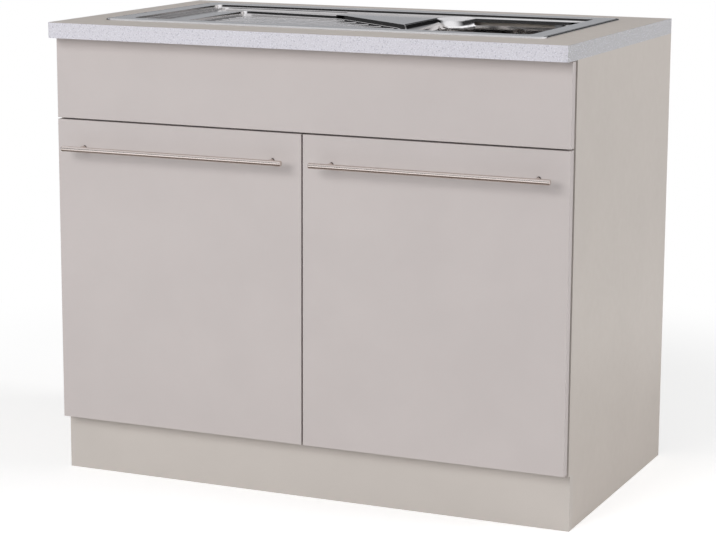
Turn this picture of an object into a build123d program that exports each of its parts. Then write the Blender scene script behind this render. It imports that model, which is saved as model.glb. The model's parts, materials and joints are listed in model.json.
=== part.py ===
from build123d import *
import os
from math import atan2, cos, degrees, hypot, radians, sin

os.makedirs("parts", exist_ok=True)

# Kitchen sink unit: a two-door base cabinet with a fixed false front, a worktop and an
# inset steel sink with its drainer on the left. All sizes are in millimetres.
# X runs along the front to the right, Y from the front to the rear, Z up from the floor.
# The origin is the floor point under the middle of the whole unit, handles included.

# ---------------------------------------------------------------- driving dimensions
# Worktop and overall size
worktop_width = 1000.0
worktop_depth = 600.0
worktop_thickness = 28.0
worktop_height = 850.0          # floor to worktop surface
worktop_overhang = 30.0         # worktop edge in front of the door faces
edging_thickness = 1.5
edging_radius = 10.0            # front corners of the worktop, seen from above

# Carcass boards
board = 16.0
plinth_height = 100.0
plinth_setback = 9.0            # plinth face behind the carcass front edge
front_rail_lap = 18.5           # front rail below the door tops
rear_rail_height = 100.0
rear_rail_clearance = 3.5       # sink clip screws to the rear rail
back_thickness = 3.0
back_inset = 12.0               # back panel in front of the rear edges
groove_depth = 6.0
groove_play = 0.3

# Fronts
front_thickness = 16.0
front_clearance = 2.0           # between the fronts and the carcass
front_inset = 2.5               # front edges inside the outer sides
front_gap = 3.0                 # between neighbouring fronts
door_bottom = 105.0
door_gap_height = 672.0         # middle of the gap above the doors
false_front_top_gap = 2.0

# Bar handles
handle_length = 446.0
handle_diameter = 10.0
handle_hole_spacing = 384.0
handle_projection = 35.0        # door face to the front of the bar
handle_drop = 50.0              # door top edge to the bar axis
handle_post_diameter = 8.0
handle_end_chamfer = 1.2
handle_screw_diameter = 4.0
handle_screw_depth = 10.0       # in the post
screw_head_height = 2.0

# Sink, seen from above
sink_width = 860.0
sink_depth = 435.0
sink_offset_x = -5.0            # sink middle from the worktop middle
sink_front_margin = 92.0        # worktop front edge to the sink's edge
sink_corner_radius = 18.0
sheet = 1.0
rim_rise = 3.0                  # rim surface above the worktop
rim_band = 40.0                 # flat rim around the recessed deck
deck_drop = 3.0                 # rim surface to the deck
deck_corner_radius = 14.0
wall_slope = 25.0               # steps lean by this angle, degrees
cutout_margin = 20.0            # sink edge to the worktop's cut-out
cutout_radius = 10.0
seal_inset = 5.0                # sink edge to the sealing strip
seal_width = 8.0
clip_xs = [-320.0, -5.0, 310.0]
clip_width = 14.0
clip_thickness = 1.5
clip_clearance = 2.0            # cut-out edge to the clip
clip_reach = 12.0               # worktop underside to the clip's foot
clip_foot = 18.0
clip_screw_inset = 12.0         # sink edge to the clip's screw
clip_screw_radius = 2.0
clip_screw_stand = 6.0

# Bowl
bowl_width = 280.0
bowl_edge_margin = 5.0          # bowl to the deck's edge, front, rear and right
bowl_drop = 152.0               # deck to the bowl floor
bowl_corner_radius = 55.0
bowl_floor_radius = 35.0

# Drainer
ledge_left_margin = 18.0        # deck's left edge to the ledge
ledge_edge_margin = 5.0         # deck's front and rear edges to the ledge
ledge_width = 267.0
ledge_drop = 2.0
tray_left_margin = 59.0         # ledge's left edge to the tray
tray_rear_left = 35.0           # ledge's rear edge to the tray, at its left end
tray_rear_middle = 66.0         # the same, where the rear wall turns
tray_turn = 221.0               # tray's left edge to that turn
tray_drop = 6.0
spout_overlap = 30.0            # tray end inside the bowl
spout_mouth = 108.0             # width of that end
rib_count = 9
rib_spacing = 28.0
rib_first = 22.0                # tray's front edge to the first rib
rib_width = 5.0
rib_height = 1.2
rib_end_gap = 24.0

# Basket strainer and waste
drain_hole_diameter = 90.0
flange_diameter = 114.0
flange_thickness = 1.5
well_depth = 27.0
plastic_wall = 2.3
pipe_diameter = 40.0
pipe_wall = 2.0
spigot_wall = 4.0
spigot_length = 30.0
tail_length = 62.0              # strainer spigot to the trap
trap_diameter = 64.0
trap_height = 90.0
trap_cup_height = 40.0
trap_outlet_drop = 28.0         # trap top to the outlet's axis
nut_length = 20.0
nut_wall = 4.5
nut_cap = 5.0                   # nut beyond the neck's mouth
outlet_step = 1.0               # outlet pipe's inner end under its own radius
basket_diameter = 72.0
basket_depth = 20.0
basket_hole_count = 16
basket_lift_gap = 0.3
overflow_diameter = 36.0
overflow_drop = 38.0            # deck to the overflow's axis
overflow_pipe_diameter = 20.0
overflow_bend = 28.0

# Concealed hinges
hinge_end_distance = 90.0       # door end to the hinge
cup_diameter = 35.0
cup_edge_distance = 3.0         # door edge to the cup
cup_depth = 12.5
cup_wall = 1.0
cup_flange = 1.2
cup_flange_height = 58.0
cup_screw_spacing = 45.0
plate_setback = 37.0            # carcass edge to the plate's screws
plate_screw_spacing = 32.0
plate_height = 9.6
pivot_inset = 5.5               # door edge to the virtual pivot
pivot_depth = 8.0               # door back to the virtual pivot
link_pin_from_pivot = (3.0, -5.2)
arm_pin_reach = 21.0
door_opening = 105.0            # degrees
link_play = 0.1
link_thickness = 2.4

# Service opening in the back panel
service_reach = 220.0           # bowl's middle to the opening's left edge
service_side_margin = 24.0      # side panel to its right edge
service_bottom = 300.0
service_height = 290.0

# ---------------------------------------------------------------- derived places
half_width = worktop_width / 2
inner_x = half_width - board
handle_proud = max(handle_projection - worktop_overhang, 0.0)
rear_y = (worktop_depth + handle_proud) / 2
worktop_front_y = rear_y - worktop_depth
door_face_y = worktop_front_y + worktop_overhang
door_back_y = door_face_y + front_thickness
carcass_front_y = door_back_y + front_clearance
plinth_front_y = carcass_front_y + plinth_setback
plinth_back_y = plinth_front_y + board
back_front_y = rear_y - back_inset - back_thickness
back_rear_y = rear_y - back_inset
worktop_bottom = worktop_height - worktop_thickness
floor_top = plinth_height + board
door_top = door_gap_height - front_gap / 2
door_outer_x = half_width - front_inset
door_width = door_outer_x - front_gap / 2
false_bottom = door_gap_height + front_gap / 2
false_top = worktop_bottom - false_front_top_gap
clip_foot_top = worktop_bottom - clip_reach
clip_screw_bottom = clip_foot_top - clip_thickness - clip_screw_stand - screw_head_height
rear_rail_top = clip_screw_bottom - rear_rail_clearance

sink_left = sink_offset_x - sink_width / 2
sink_right = sink_offset_x + sink_width / 2
sink_front = worktop_front_y + sink_front_margin
sink_middle_y = sink_front + sink_depth / 2
rim_top = worktop_height + rim_rise
deck_z = rim_top - deck_drop
deck_width = sink_width - 2 * rim_band
deck_depth = sink_depth - 2 * rim_band
deck_left = sink_left + rim_band
deck_right = sink_right - rim_band
deck_front = sink_front + rim_band
deck_rear = deck_front + deck_depth
bowl_right = deck_right - bowl_edge_margin
bowl_left = bowl_right - bowl_width
bowl_x = (bowl_left + bowl_right) / 2
bowl_depth_y = deck_depth - 2 * bowl_edge_margin
bowl_rear = sink_middle_y + bowl_depth_y / 2
bowl_floor = deck_z - bowl_drop
bowl_under = bowl_floor - sheet


def block(x, y, z, mode=Mode.ADD):
    """Box between three pairs of limits."""
    with Locations(((x[0] + x[1]) / 2, (y[0] + y[1]) / 2, (z[0] + z[1]) / 2)):
        Box(abs(x[1] - x[0]), abs(y[1] - y[0]), abs(z[1] - z[0]), mode=mode)


def bar(start, end, radius, mode=Mode.ADD):
    """Round bar, or round hole, between two points."""
    run = Vector(*end) - Vector(*start)
    with BuildSketch(Plane(origin=start, z_dir=run)) as section:
        Circle(radius)
    extrude(section.sketch, amount=run.length, mode=mode)


def screw(seat, direction, length, radius, head_radius, head_height=screw_head_height):
    """Screw whose head stands on seat and whose shank runs along direction."""
    along = Vector(*direction)
    point = Vector(*seat)
    bar(tuple(point), tuple(point - along * head_height), head_radius)
    bar(tuple(point), tuple(point + along * length), radius)


# ---------------------------------------------------------------- joints of the boards
# Each fitting is a bolt in the side panel drawn into a disc in the board's end.
bolt_radius = 3.5
bolt_grip = 11.0
disc_radius = 7.5
disc_height = 12.5
disc_distance = 24.0            # board end to the disc's centre
dowel_radius = 4.0
dowel_grip = 11.0
dowel_length = 30.0
bottom_mid_z = plinth_height + board / 2
front_rail_mid_y = carcass_front_y + board / 2
rear_rail_mid_y = back_front_y - board / 2
rail_bolt_drop = 25.0           # rail's top edge to its bolts
bottom_bolt_inset = 60.0
dowel_offset = 32.0

bottom_bolts = [
    (carcass_front_y + bottom_bolt_inset, bottom_mid_z),
    (back_front_y - bottom_bolt_inset, bottom_mid_z),
]
front_rail_bolt = (front_rail_mid_y, worktop_bottom - rail_bolt_drop)
rear_rail_bolt = (rear_rail_mid_y, rear_rail_top - rail_bolt_drop)
bolt_places = bottom_bolts + [front_rail_bolt, rear_rail_bolt]
dowel_places = [
    (bottom_bolts[0][0] + dowel_offset, bottom_mid_z),
    (bottom_bolts[1][0] - dowel_offset, bottom_mid_z),
    (front_rail_mid_y, front_rail_bolt[1] - dowel_offset),
    (rear_rail_mid_y, rear_rail_bolt[1] - dowel_offset),
]

# Hinge plates on the side panels
hinge_heights = [door_bottom + hinge_end_distance, door_top - hinge_end_distance]
plate_screw_radius = 1.75
plate_screw_depth = 12.0
plate_wing = 2.0
plate_y = carcass_front_y + plate_setback


def plate_screw_heights(hinge_z):
    """Heights of the two screws of one hinge plate."""
    return [hinge_z - plate_screw_spacing / 2, hinge_z + plate_screw_spacing / 2]


# Angle brackets for the worktop and the plinth
angle_leg = 30.0
angle_width = 20.0
angle_thickness = 2.0
angle_screw_radius = 1.75
angle_screw_depth = 12.0
angle_screw_out = 12.0          # corner to the screw
worktop_angle_ys = [carcass_front_y + 90.0, back_front_y - 90.0]
plinth_angle_z = plinth_height / 2


# ---------------------------------------------------------------- carcass
def side_panel(side):
    """Side panel with the plinth notch, back groove and every blind hole."""
    with BuildPart() as panel:
        block((side * inner_x, side * half_width), (carcass_front_y, rear_y), (0, worktop_bottom))
        block(
            (side * inner_x, side * half_width),
            (carcass_front_y, plinth_back_y),
            (0, plinth_height),
            mode=Mode.SUBTRACT,
        )
        block(
            (side * inner_x, side * (inner_x + groove_depth)),
            (back_front_y, back_rear_y + groove_play),
            (plinth_height, worktop_bottom),
            mode=Mode.SUBTRACT,
        )
        for y, z in bolt_places:
            bar((side * inner_x, y, z), (side * (inner_x + bolt_grip), y, z), bolt_radius, Mode.SUBTRACT)
        for y, z in dowel_places:
            bar((side * inner_x, y, z), (side * (inner_x + dowel_grip), y, z), dowel_radius, Mode.SUBTRACT)
        for hinge_z in hinge_heights:
            for z in plate_screw_heights(hinge_z):
                start = (side * inner_x, plate_y, z)
                end = (side * (inner_x - plate_wing + plate_screw_depth), plate_y, z)
                bar(start, end, plate_screw_radius, Mode.SUBTRACT)
        bracket_screws = [(y, worktop_bottom - angle_screw_out) for y in worktop_angle_ys]
        bracket_screws.append((plinth_back_y + angle_screw_out, plinth_angle_z))
        for y, z in bracket_screws:
            deep = inner_x - angle_thickness + angle_screw_depth
            bar((side * inner_x, y, z), (side * deep, y, z), angle_screw_radius, Mode.SUBTRACT)
    return panel


side_panel_left = side_panel(-1)
side_panel_right = side_panel(1)


def end_holes(places, disc_direction):
    """Bolt, disc and dowel holes in both ends of the board being built."""
    bolts, dowels = places
    for side in (-1, 1):
        for y, z in bolts:
            disc_x = side * (inner_x - disc_distance)
            bar((side * inner_x, y, z), (disc_x, y, z), bolt_radius, Mode.SUBTRACT)
            far = (disc_x, y - disc_direction[0] * board / 2, z - disc_direction[1] * board / 2)
            near = (
                disc_x,
                far[1] + disc_direction[0] * disc_height,
                far[2] + disc_direction[1] * disc_height,
            )
            bar(far, near, disc_radius, Mode.SUBTRACT)
        for y, z in dowels:
            end = side * (inner_x - dowel_length + dowel_grip)
            bar((side * inner_x, y, z), (end, y, z), dowel_radius, Mode.SUBTRACT)


upwards = (0, 1)                # discs in the bottom panel enter from below
forwards = (-1, 0)              # discs in the front rail enter from its rear face
backwards = (1, 0)              # discs in the rear rail enter from its front face

with BuildPart() as bottom_panel:
    block((-inner_x, inner_x), (carcass_front_y, back_front_y), (plinth_height, floor_top))
    end_holes((bottom_bolts, dowel_places[:2]), upwards)

false_screw_radius = 2.0
false_screw_depth = 12.0
false_screw_xs = [-door_width * 0.8, -door_width * 0.25, door_width * 0.25, door_width * 0.8]
false_screw_z = (false_bottom + false_top) / 2
false_pad_radius = 8.0

with BuildPart() as front_rail:
    block(
        (-inner_x, inner_x),
        (carcass_front_y, carcass_front_y + board),
        (door_top - front_rail_lap, worktop_bottom),
    )
    end_holes(([front_rail_bolt], dowel_places[2:3]), forwards)
    for x in false_screw_xs:
        start = (x, carcass_front_y, false_screw_z)
        bar(start, (x, carcass_front_y + board, false_screw_z), false_screw_radius, Mode.SUBTRACT)

with BuildPart() as rear_rail:
    block(
        (-inner_x, inner_x),
        (back_front_y - board, back_front_y),
        (rear_rail_top - rear_rail_height, rear_rail_top),
    )
    end_holes(([rear_rail_bolt], dowel_places[3:]), backwards)

with BuildPart() as back_panel:
    panel_edge = inner_x + groove_depth - groove_play
    block((-panel_edge, panel_edge), (back_front_y, back_rear_y), (plinth_height, worktop_bottom))
    block(
        (bowl_x - service_reach, inner_x - service_side_margin),
        (back_front_y, back_rear_y),
        (service_bottom, service_bottom + service_height),
        mode=Mode.SUBTRACT,
    )

plinth_angle_screw_x = inner_x - angle_screw_out

with BuildPart() as plinth_board:
    block((-half_width, half_width), (plinth_front_y, plinth_back_y), (0, plinth_height))
    for side in (-1, 1):
        start = (side * plinth_angle_screw_x, plinth_back_y, plinth_angle_z)
        end = (start[0], plinth_back_y + angle_thickness - angle_screw_depth, plinth_angle_z)
        bar(start, end, angle_screw_radius, Mode.SUBTRACT)

with BuildPart() as cam_bolts:
    for side in (-1, 1):
        for y, z in bolt_places:
            end = side * (inner_x - disc_distance + disc_radius)
            bar((side * (inner_x + bolt_grip), y, z), (end, y, z), bolt_radius)

with BuildPart() as cam_discs:
    for side in (-1, 1):
        x = side * (inner_x - disc_distance)
        for y, z in bottom_bolts:
            bar((x, y, z - board / 2), (x, y, z - board / 2 + disc_height), disc_radius)
        y, z = front_rail_bolt
        bar((x, y + board / 2, z), (x, y + board / 2 - disc_height, z), disc_radius)
        y, z = rear_rail_bolt
        bar((x, y - board / 2, z), (x, y - board / 2 + disc_height, z), disc_radius)

with BuildPart() as dowels:
    for side in (-1, 1):
        for y, z in dowel_places:
            end = side * (inner_x + dowel_grip - dowel_length)
            bar((side * (inner_x + dowel_grip), y, z), (end, y, z), dowel_radius)

# ---------------------------------------------------------------- worktop
with BuildPart() as worktop_board:
    with BuildSketch(Plane.XY.offset(worktop_bottom)):
        with Locations((0, (worktop_front_y + edging_thickness + rear_y) / 2)):
            Rectangle(worktop_width - 2 * edging_thickness, worktop_depth - edging_thickness)
    extrude(amount=worktop_thickness)
    front_corners = worktop_board.edges().filter_by(Axis.Z).group_by(Axis.Y)[0]
    fillet(front_corners, edging_radius - edging_thickness)
    with BuildSketch(Plane.XY.offset(worktop_bottom)):
        with Locations((sink_offset_x, sink_middle_y)):
            RectangleRounded(
                sink_width - 2 * cutout_margin,
                sink_depth - 2 * cutout_margin,
                cutout_radius,
            )
    extrude(amount=worktop_thickness, mode=Mode.SUBTRACT)
    for side in (-1, 1):
        for y in worktop_angle_ys:
            x = side * (inner_x - angle_screw_out)
            top = worktop_bottom - angle_thickness + angle_screw_depth
            bar((x, y, worktop_bottom), (x, y, top), angle_screw_radius, Mode.SUBTRACT)

with BuildPart() as worktop_edging:
    with BuildSketch(Plane.XY.offset(worktop_bottom)):
        with Locations((0, (worktop_front_y + rear_y) / 2)):
            Rectangle(worktop_width, worktop_depth)
    extrude(amount=worktop_thickness)
    fillet(worktop_edging.edges().filter_by(Axis.Z).group_by(Axis.Y)[0], edging_radius)
    with BuildSketch(Plane.XY.offset(worktop_bottom)) as core:
        with Locations((0, (worktop_front_y + edging_thickness + rear_y) / 2)):
            Rectangle(worktop_width - 2 * edging_thickness, worktop_depth - edging_thickness)
        fillet(core.vertices().group_by(Axis.Y)[0], edging_radius - edging_thickness)
    extrude(amount=worktop_thickness, mode=Mode.SUBTRACT)

angle_head_radius = 3.5

with BuildPart() as angle_brackets:
    for side in (-1, 1):
        wall = (side * inner_x, side * (inner_x - angle_thickness))
        reach = (side * inner_x, side * (inner_x - angle_leg))
        z = (plinth_angle_z - angle_width / 2, plinth_angle_z + angle_width / 2)
        block(wall, (plinth_back_y, plinth_back_y + angle_leg), z)
        block(reach, (plinth_back_y, plinth_back_y + angle_thickness), z)
        start = (wall[0], plinth_back_y + angle_screw_out, plinth_angle_z)
        bar(start, (wall[1], start[1], plinth_angle_z), angle_screw_radius, Mode.SUBTRACT)
        start = (side * plinth_angle_screw_x, plinth_back_y, plinth_angle_z)
        end = (start[0], plinth_back_y + angle_thickness, plinth_angle_z)
        bar(start, end, angle_screw_radius, Mode.SUBTRACT)
        under = worktop_bottom - angle_thickness
        for y in worktop_angle_ys:
            width = (y - angle_width / 2, y + angle_width / 2)
            block(wall, width, (worktop_bottom - angle_leg, worktop_bottom))
            block(reach, width, (under, worktop_bottom))
            z = worktop_bottom - angle_screw_out
            bar((wall[0], y, z), (wall[1], y, z), angle_screw_radius, Mode.SUBTRACT)
            x = side * (inner_x - angle_screw_out)
            bar((x, y, worktop_bottom), (x, y, under), angle_screw_radius, Mode.SUBTRACT)

bracket_seats = []
for side in (-1, 1):
    wall_x = side * (inner_x - angle_thickness)
    out_x = side * (inner_x - angle_screw_out)
    y = plinth_back_y + angle_screw_out
    bracket_seats.append(((wall_x, y, plinth_angle_z), (side, 0, 0)))
    y = plinth_back_y + angle_thickness
    bracket_seats.append(((out_x, y, plinth_angle_z), (0, -1, 0)))
    for y in worktop_angle_ys:
        bracket_seats.append(((wall_x, y, worktop_bottom - angle_screw_out), (side, 0, 0)))
        bracket_seats.append(((out_x, y, worktop_bottom - angle_thickness), (0, 0, 1)))

with BuildPart() as bracket_screws:
    for seat, direction in bracket_seats:
        screw(seat, direction, angle_screw_depth, angle_screw_radius, angle_head_radius)


# ---------------------------------------------------------------- sink
def deck_plan(extra):
    """Outline of the recessed deck, grown by extra all round."""
    with BuildSketch(Plane.XY.offset(rim_top)) as plan:
        with Locations((sink_offset_x, sink_middle_y)):
            RectangleRounded(deck_width + 2 * extra, deck_depth + 2 * extra, deck_corner_radius + extra)
    return plan.sketch


def ledge_plan(extra):
    """Outline of the drainer's upper ledge, grown by extra all round."""
    left = deck_left + ledge_left_margin
    front = deck_front + ledge_edge_margin
    rear = deck_rear - ledge_edge_margin
    with BuildSketch(Plane.XY.offset(deck_z)) as plan:
        with Locations((left + ledge_width / 2, (front + rear) / 2)):
            RectangleRounded(ledge_width + 2 * extra, rear - front + 2 * extra, deck_corner_radius + extra)
    return plan.sketch


tray_left = deck_left + ledge_left_margin + tray_left_margin
tray_front = deck_front + ledge_edge_margin
tray_rear = deck_rear - ledge_edge_margin
tray_turn_x = tray_left + tray_turn
tray_turn_y = tray_rear - tray_rear_middle
spout_x = bowl_left + spout_overlap
spout_rear_y = tray_front + spout_mouth
tray_z = deck_z - ledge_drop - tray_drop


def tray_plan(extra):
    """Outline of the ribbed tray, which narrows towards the bowl, grown by extra all round."""
    with BuildSketch(Plane.XY.offset(deck_z)) as plan:
        with BuildLine():
            Polyline(
                (tray_left, tray_front),
                (spout_x, tray_front),
                (spout_x, spout_rear_y),
                (tray_turn_x, tray_turn_y),
                (tray_left, tray_rear - tray_rear_left),
                close=True,
            )
        make_face()
        fillet(plan.vertices().group_by(Axis.X)[0], deck_corner_radius)
        if extra:
            offset(amount=extra, kind=Kind.INTERSECTION)
    return plan.sketch


def tray_ribs(skin):
    """Ribs along the tray, each ending short of the slanting wall or of the bowl."""
    slant = (spout_x - tray_turn_x) / (tray_turn_y - spout_rear_y)
    for index in range(rib_count):
        y = tray_front + rib_first + rib_spacing * index
        wall_x = tray_turn_x + (tray_turn_y - y) * slant
        end = min(wall_x - rib_end_gap, bowl_left - rib_end_gap)
        start = tray_left + rib_end_gap
        half = rib_width / 2 - skin
        block(
            (start + skin, end - skin),
            (y - half, y + half),
            (tray_z - skin, tray_z - skin + rib_height),
            mode=Mode.SUBTRACT,
        )


def basin(skin):
    """Space inside the pressed sink, grown by the sheet's thickness for its underside."""
    with BuildPart() as space:
        extrude(deck_plan(skin), amount=-(deck_drop + skin))
        extrude(ledge_plan(skin), amount=-(ledge_drop + skin), taper=wall_slope)
        extrude(tray_plan(skin), amount=-(ledge_drop + tray_drop + skin), taper=wall_slope)
        tray_ribs(skin)
        with BuildSketch(Plane.XY.offset(deck_z)):
            with Locations((bowl_x, sink_middle_y)):
                RectangleRounded(
                    bowl_width + 2 * skin,
                    bowl_depth_y + 2 * skin,
                    bowl_corner_radius + skin,
                )
        extrude(amount=-(bowl_drop + skin))
        fillet(space.faces().sort_by(Axis.Z)[0].edges(), bowl_floor_radius + skin)
    return space.part


sink_space = basin(0.0)
sink_outside = basin(sheet)

with BuildPart() as sink:
    with BuildSketch(Plane.XY.offset(worktop_height)):
        with Locations((sink_offset_x, sink_middle_y)):
            RectangleRounded(sink_width, sink_depth, sink_corner_radius)
    extrude(amount=rim_rise)
    fillet(sink.faces().sort_by(Axis.Z)[-1].edges(), rim_rise * 0.7)
    with BuildSketch(Plane.XY.offset(worktop_height)):
        with Locations((sink_offset_x, sink_middle_y)):
            RectangleRounded(
                sink_width - 6 * sheet,
                sink_depth - 6 * sheet,
                sink_corner_radius - 3 * sheet,
            )
    extrude(amount=rim_rise - sheet, mode=Mode.SUBTRACT)
    add(sink_outside)
    add(sink_space, mode=Mode.SUBTRACT)
    drain = (bowl_x, sink_middle_y, bowl_floor)
    bar(drain, (bowl_x, sink_middle_y, bowl_under), drain_hole_diameter / 2, Mode.SUBTRACT)
    wall = (bowl_x, bowl_rear, deck_z - overflow_drop)
    wall_out = (bowl_x, bowl_rear + sheet, deck_z - overflow_drop)
    bar(wall, wall_out, overflow_diameter / 2 - 4.0, Mode.SUBTRACT)

with BuildPart() as sink_seal:
    with BuildSketch(Plane.XY.offset(worktop_height)):
        with Locations((sink_offset_x, sink_middle_y)):
            RectangleRounded(
                sink_width - 2 * seal_inset,
                sink_depth - 2 * seal_inset,
                sink_corner_radius - seal_inset,
            )
            RectangleRounded(
                sink_width - 2 * (seal_inset + seal_width),
                sink_depth - 2 * (seal_inset + seal_width),
                cutout_radius / 2,
                mode=Mode.SUBTRACT,
            )
    extrude(amount=rim_rise - sheet)

# Clips hook under the rim and press against the worktop's underside.
clip_places = [((x, sink_front), (0, -1)) for x in clip_xs]
clip_places += [((x, sink_front + sink_depth), (0, 1)) for x in clip_xs]
clip_places += [((sink_left, sink_middle_y), (-1, 0)), ((sink_right, sink_middle_y), (1, 0))]


def clip_block(edge, outward, inward, z):
    """Box of a clip between two distances inward from the sink's edge."""
    spans = []
    for axis in (0, 1):
        if outward[axis]:
            spans.append([edge[axis] - outward[axis] * distance for distance in inward])
        else:
            spans.append([edge[axis] - clip_width / 2, edge[axis] + clip_width / 2])
    block(spans[0], spans[1], z)


def clip_screw_point(edge, outward):
    """Plan position of a clip's screw."""
    return [edge[axis] - outward[axis] * clip_screw_inset for axis in (0, 1)]


clip_back = cutout_margin + clip_clearance

with BuildPart() as sink_clips:
    for edge, outward in clip_places:
        upright = (clip_back, clip_back + clip_thickness)
        clip_block(edge, outward, upright, (clip_foot_top - clip_thickness, rim_top - sheet))
        foot = (clip_back, clip_back - clip_foot)
        clip_block(edge, outward, foot, (clip_foot_top - clip_thickness, clip_foot_top))
        x, y = clip_screw_point(edge, outward)
        under = clip_foot_top - clip_thickness
        bar((x, y, clip_foot_top), (x, y, under), clip_screw_radius, Mode.SUBTRACT)

with BuildPart() as sink_clip_screws:
    for edge, outward in clip_places:
        x, y = clip_screw_point(edge, outward)
        head = clip_screw_bottom + screw_head_height
        bar((x, y, head), (x, y, worktop_bottom), clip_screw_radius)
        bar((x, y, head), (x, y, clip_screw_bottom), angle_head_radius)


# ---------------------------------------------------------------- strainer and waste
def turned(profile, mode=Mode.ADD):
    """Turned shape from (radius, height) points about the drain's upright axis."""
    foot = (bowl_x, sink_middle_y, 0)
    with BuildSketch(Plane(origin=foot, x_dir=(1, 0, 0), z_dir=(0, -1, 0))) as section:
        with BuildLine():
            Polyline(*profile, close=True)
        make_face()
    revolve(section.sketch, axis=Axis(foot, (0, 0, 1)), mode=mode)


def ring_of_holes(count, circle, radius, z):
    """Upright holes on a circle round the drain's axis."""
    for index in range(count):
        angle = radians(360 / count * index)
        x = bowl_x + circle * cos(angle)
        y = sink_middle_y + circle * sin(angle)
        bar((x, y, z[0]), (x, y, z[1]), radius, Mode.SUBTRACT)


flange_radius = flange_diameter / 2
well_radius = drain_hole_diameter / 2 - 1.0
well_bottom = bowl_floor - well_depth
flange_top = bowl_floor + flange_thickness
strainer_screw_radius = 3.0

with BuildPart() as strainer_flange:
    turned([
        (strainer_screw_radius, well_bottom),
        (well_radius, well_bottom),
        (well_radius, bowl_floor),
        (flange_radius, bowl_floor),
        (flange_radius, bowl_floor + flange_thickness * 0.4),
        (flange_radius - 6.0, flange_top),
        (well_radius - sheet, flange_top),
        (well_radius - sheet, well_bottom + sheet),
        (strainer_screw_radius, well_bottom + sheet),
    ])
    ring_of_holes(6, well_radius * 0.56, well_radius * 0.18, (well_bottom, well_bottom + sheet))

gasket_thickness = 3.0
gasket_bottom = bowl_under - gasket_thickness

with BuildPart() as strainer_gasket:
    turned([
        (well_radius, gasket_bottom),
        (flange_radius - 2.0, gasket_bottom),
        (flange_radius - 2.0, bowl_under),
        (well_radius, bowl_under),
    ])

pipe_radius = pipe_diameter / 2
pipe_bore = pipe_radius - pipe_wall
spigot_radius = pipe_radius + spigot_wall
housing_radius = well_radius + 0.5
housing_bottom = well_bottom - 13.0
housing_under = housing_bottom - plastic_wall
spigot_bottom = housing_under - spigot_length
spider_height = 5.0
overflow_pipe_radius = overflow_pipe_diameter / 2
port_z = (housing_bottom + gasket_bottom) / 2
port_end = sink_middle_y + housing_radius + plastic_wall + 14.0

with BuildPart() as strainer_body:
    turned([
        (housing_radius, gasket_bottom),
        (flange_radius - 1.0, gasket_bottom),
        (flange_radius - 1.0, gasket_bottom - 3.0),
        (housing_radius + plastic_wall, gasket_bottom - 3.0),
        (housing_radius + plastic_wall, housing_under),
        (spigot_radius, housing_under),
        (spigot_radius, spigot_bottom),
        (pipe_radius, spigot_bottom),
        (pipe_radius, housing_under),
        (pipe_bore, housing_under),
        (pipe_bore, housing_bottom),
        (housing_radius, housing_bottom),
    ])
    block(
        (bowl_x - housing_radius, bowl_x + housing_radius),
        (sink_middle_y - spider_height, sink_middle_y + spider_height),
        (housing_bottom, housing_bottom + spider_height),
    )
    spider = (bowl_x, sink_middle_y, housing_bottom + spider_height)
    bar(spider, (bowl_x, sink_middle_y, housing_bottom), strainer_screw_radius, Mode.SUBTRACT)
    port_start = (bowl_x, sink_middle_y + housing_radius + plastic_wall / 2, port_z)
    bar(port_start, (bowl_x, port_end, port_z), overflow_pipe_radius + 2.0)
    port_inside = (bowl_x, sink_middle_y + housing_radius - plastic_wall, port_z)
    bar(port_inside, (bowl_x, port_end, port_z), overflow_pipe_radius, Mode.SUBTRACT)

with BuildPart() as strainer_screw:
    screw(
        (bowl_x, sink_middle_y, well_bottom + sheet),
        (0, 0, -1),
        well_bottom + sheet - housing_bottom,
        strainer_screw_radius,
        strainer_screw_radius * 2,
        3.0,
    )

basket_radius = basket_diameter / 2
lip_bottom = flange_top + basket_lift_gap
basket_bottom = lip_bottom - basket_depth
seal_radius = 15.0
basket_seal_height = 3.0
stem_radius = 3.0
knob_radius = 9.0

with BuildPart() as basket:
    turned([
        (stem_radius, basket_bottom),
        (basket_radius, basket_bottom),
        (basket_radius, lip_bottom),
        (well_radius + 3.0, lip_bottom),
        (well_radius + 3.0, lip_bottom + sheet),
        (basket_radius - sheet, lip_bottom + sheet),
        (basket_radius - sheet, basket_bottom + sheet),
        (stem_radius, basket_bottom + sheet),
    ])
    ring_of_holes(basket_hole_count, basket_radius - 8.0, 2.5, (basket_bottom, basket_bottom + sheet))
    ring_of_holes(basket_hole_count // 2, basket_radius - 16.0, 2.0, (basket_bottom, basket_bottom + sheet))

with BuildPart() as basket_knob:
    knob_bottom = lip_bottom - 2.0
    turned([
        (0, basket_bottom - basket_seal_height),
        (stem_radius, basket_bottom - basket_seal_height),
        (stem_radius, knob_bottom),
        (knob_radius * 0.8, knob_bottom),
        (knob_radius, knob_bottom + 2.0),
        (knob_radius, knob_bottom + 5.0),
        (knob_radius * 0.7, knob_bottom + 7.0),
        (0, knob_bottom + 7.0),
    ])

with BuildPart() as basket_seal:
    turned([
        (stem_radius, basket_bottom - basket_seal_height),
        (seal_radius - 2.0, basket_bottom - basket_seal_height),
        (seal_radius, basket_bottom),
        (stem_radius, basket_bottom),
    ])

# Overflow in the bowl's rear wall, with its pipe down to the strainer housing
overflow_z = deck_z - overflow_drop
overflow_radius = overflow_diameter / 2
overflow_screw_radius = 2.5
grille_thickness = 1.5
elbow_depth = 23.0
elbow_front = bowl_rear + sheet
elbow_middle = elbow_front + elbow_depth / 2
elbow_foot = overflow_z - overflow_radius - 16.0

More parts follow.
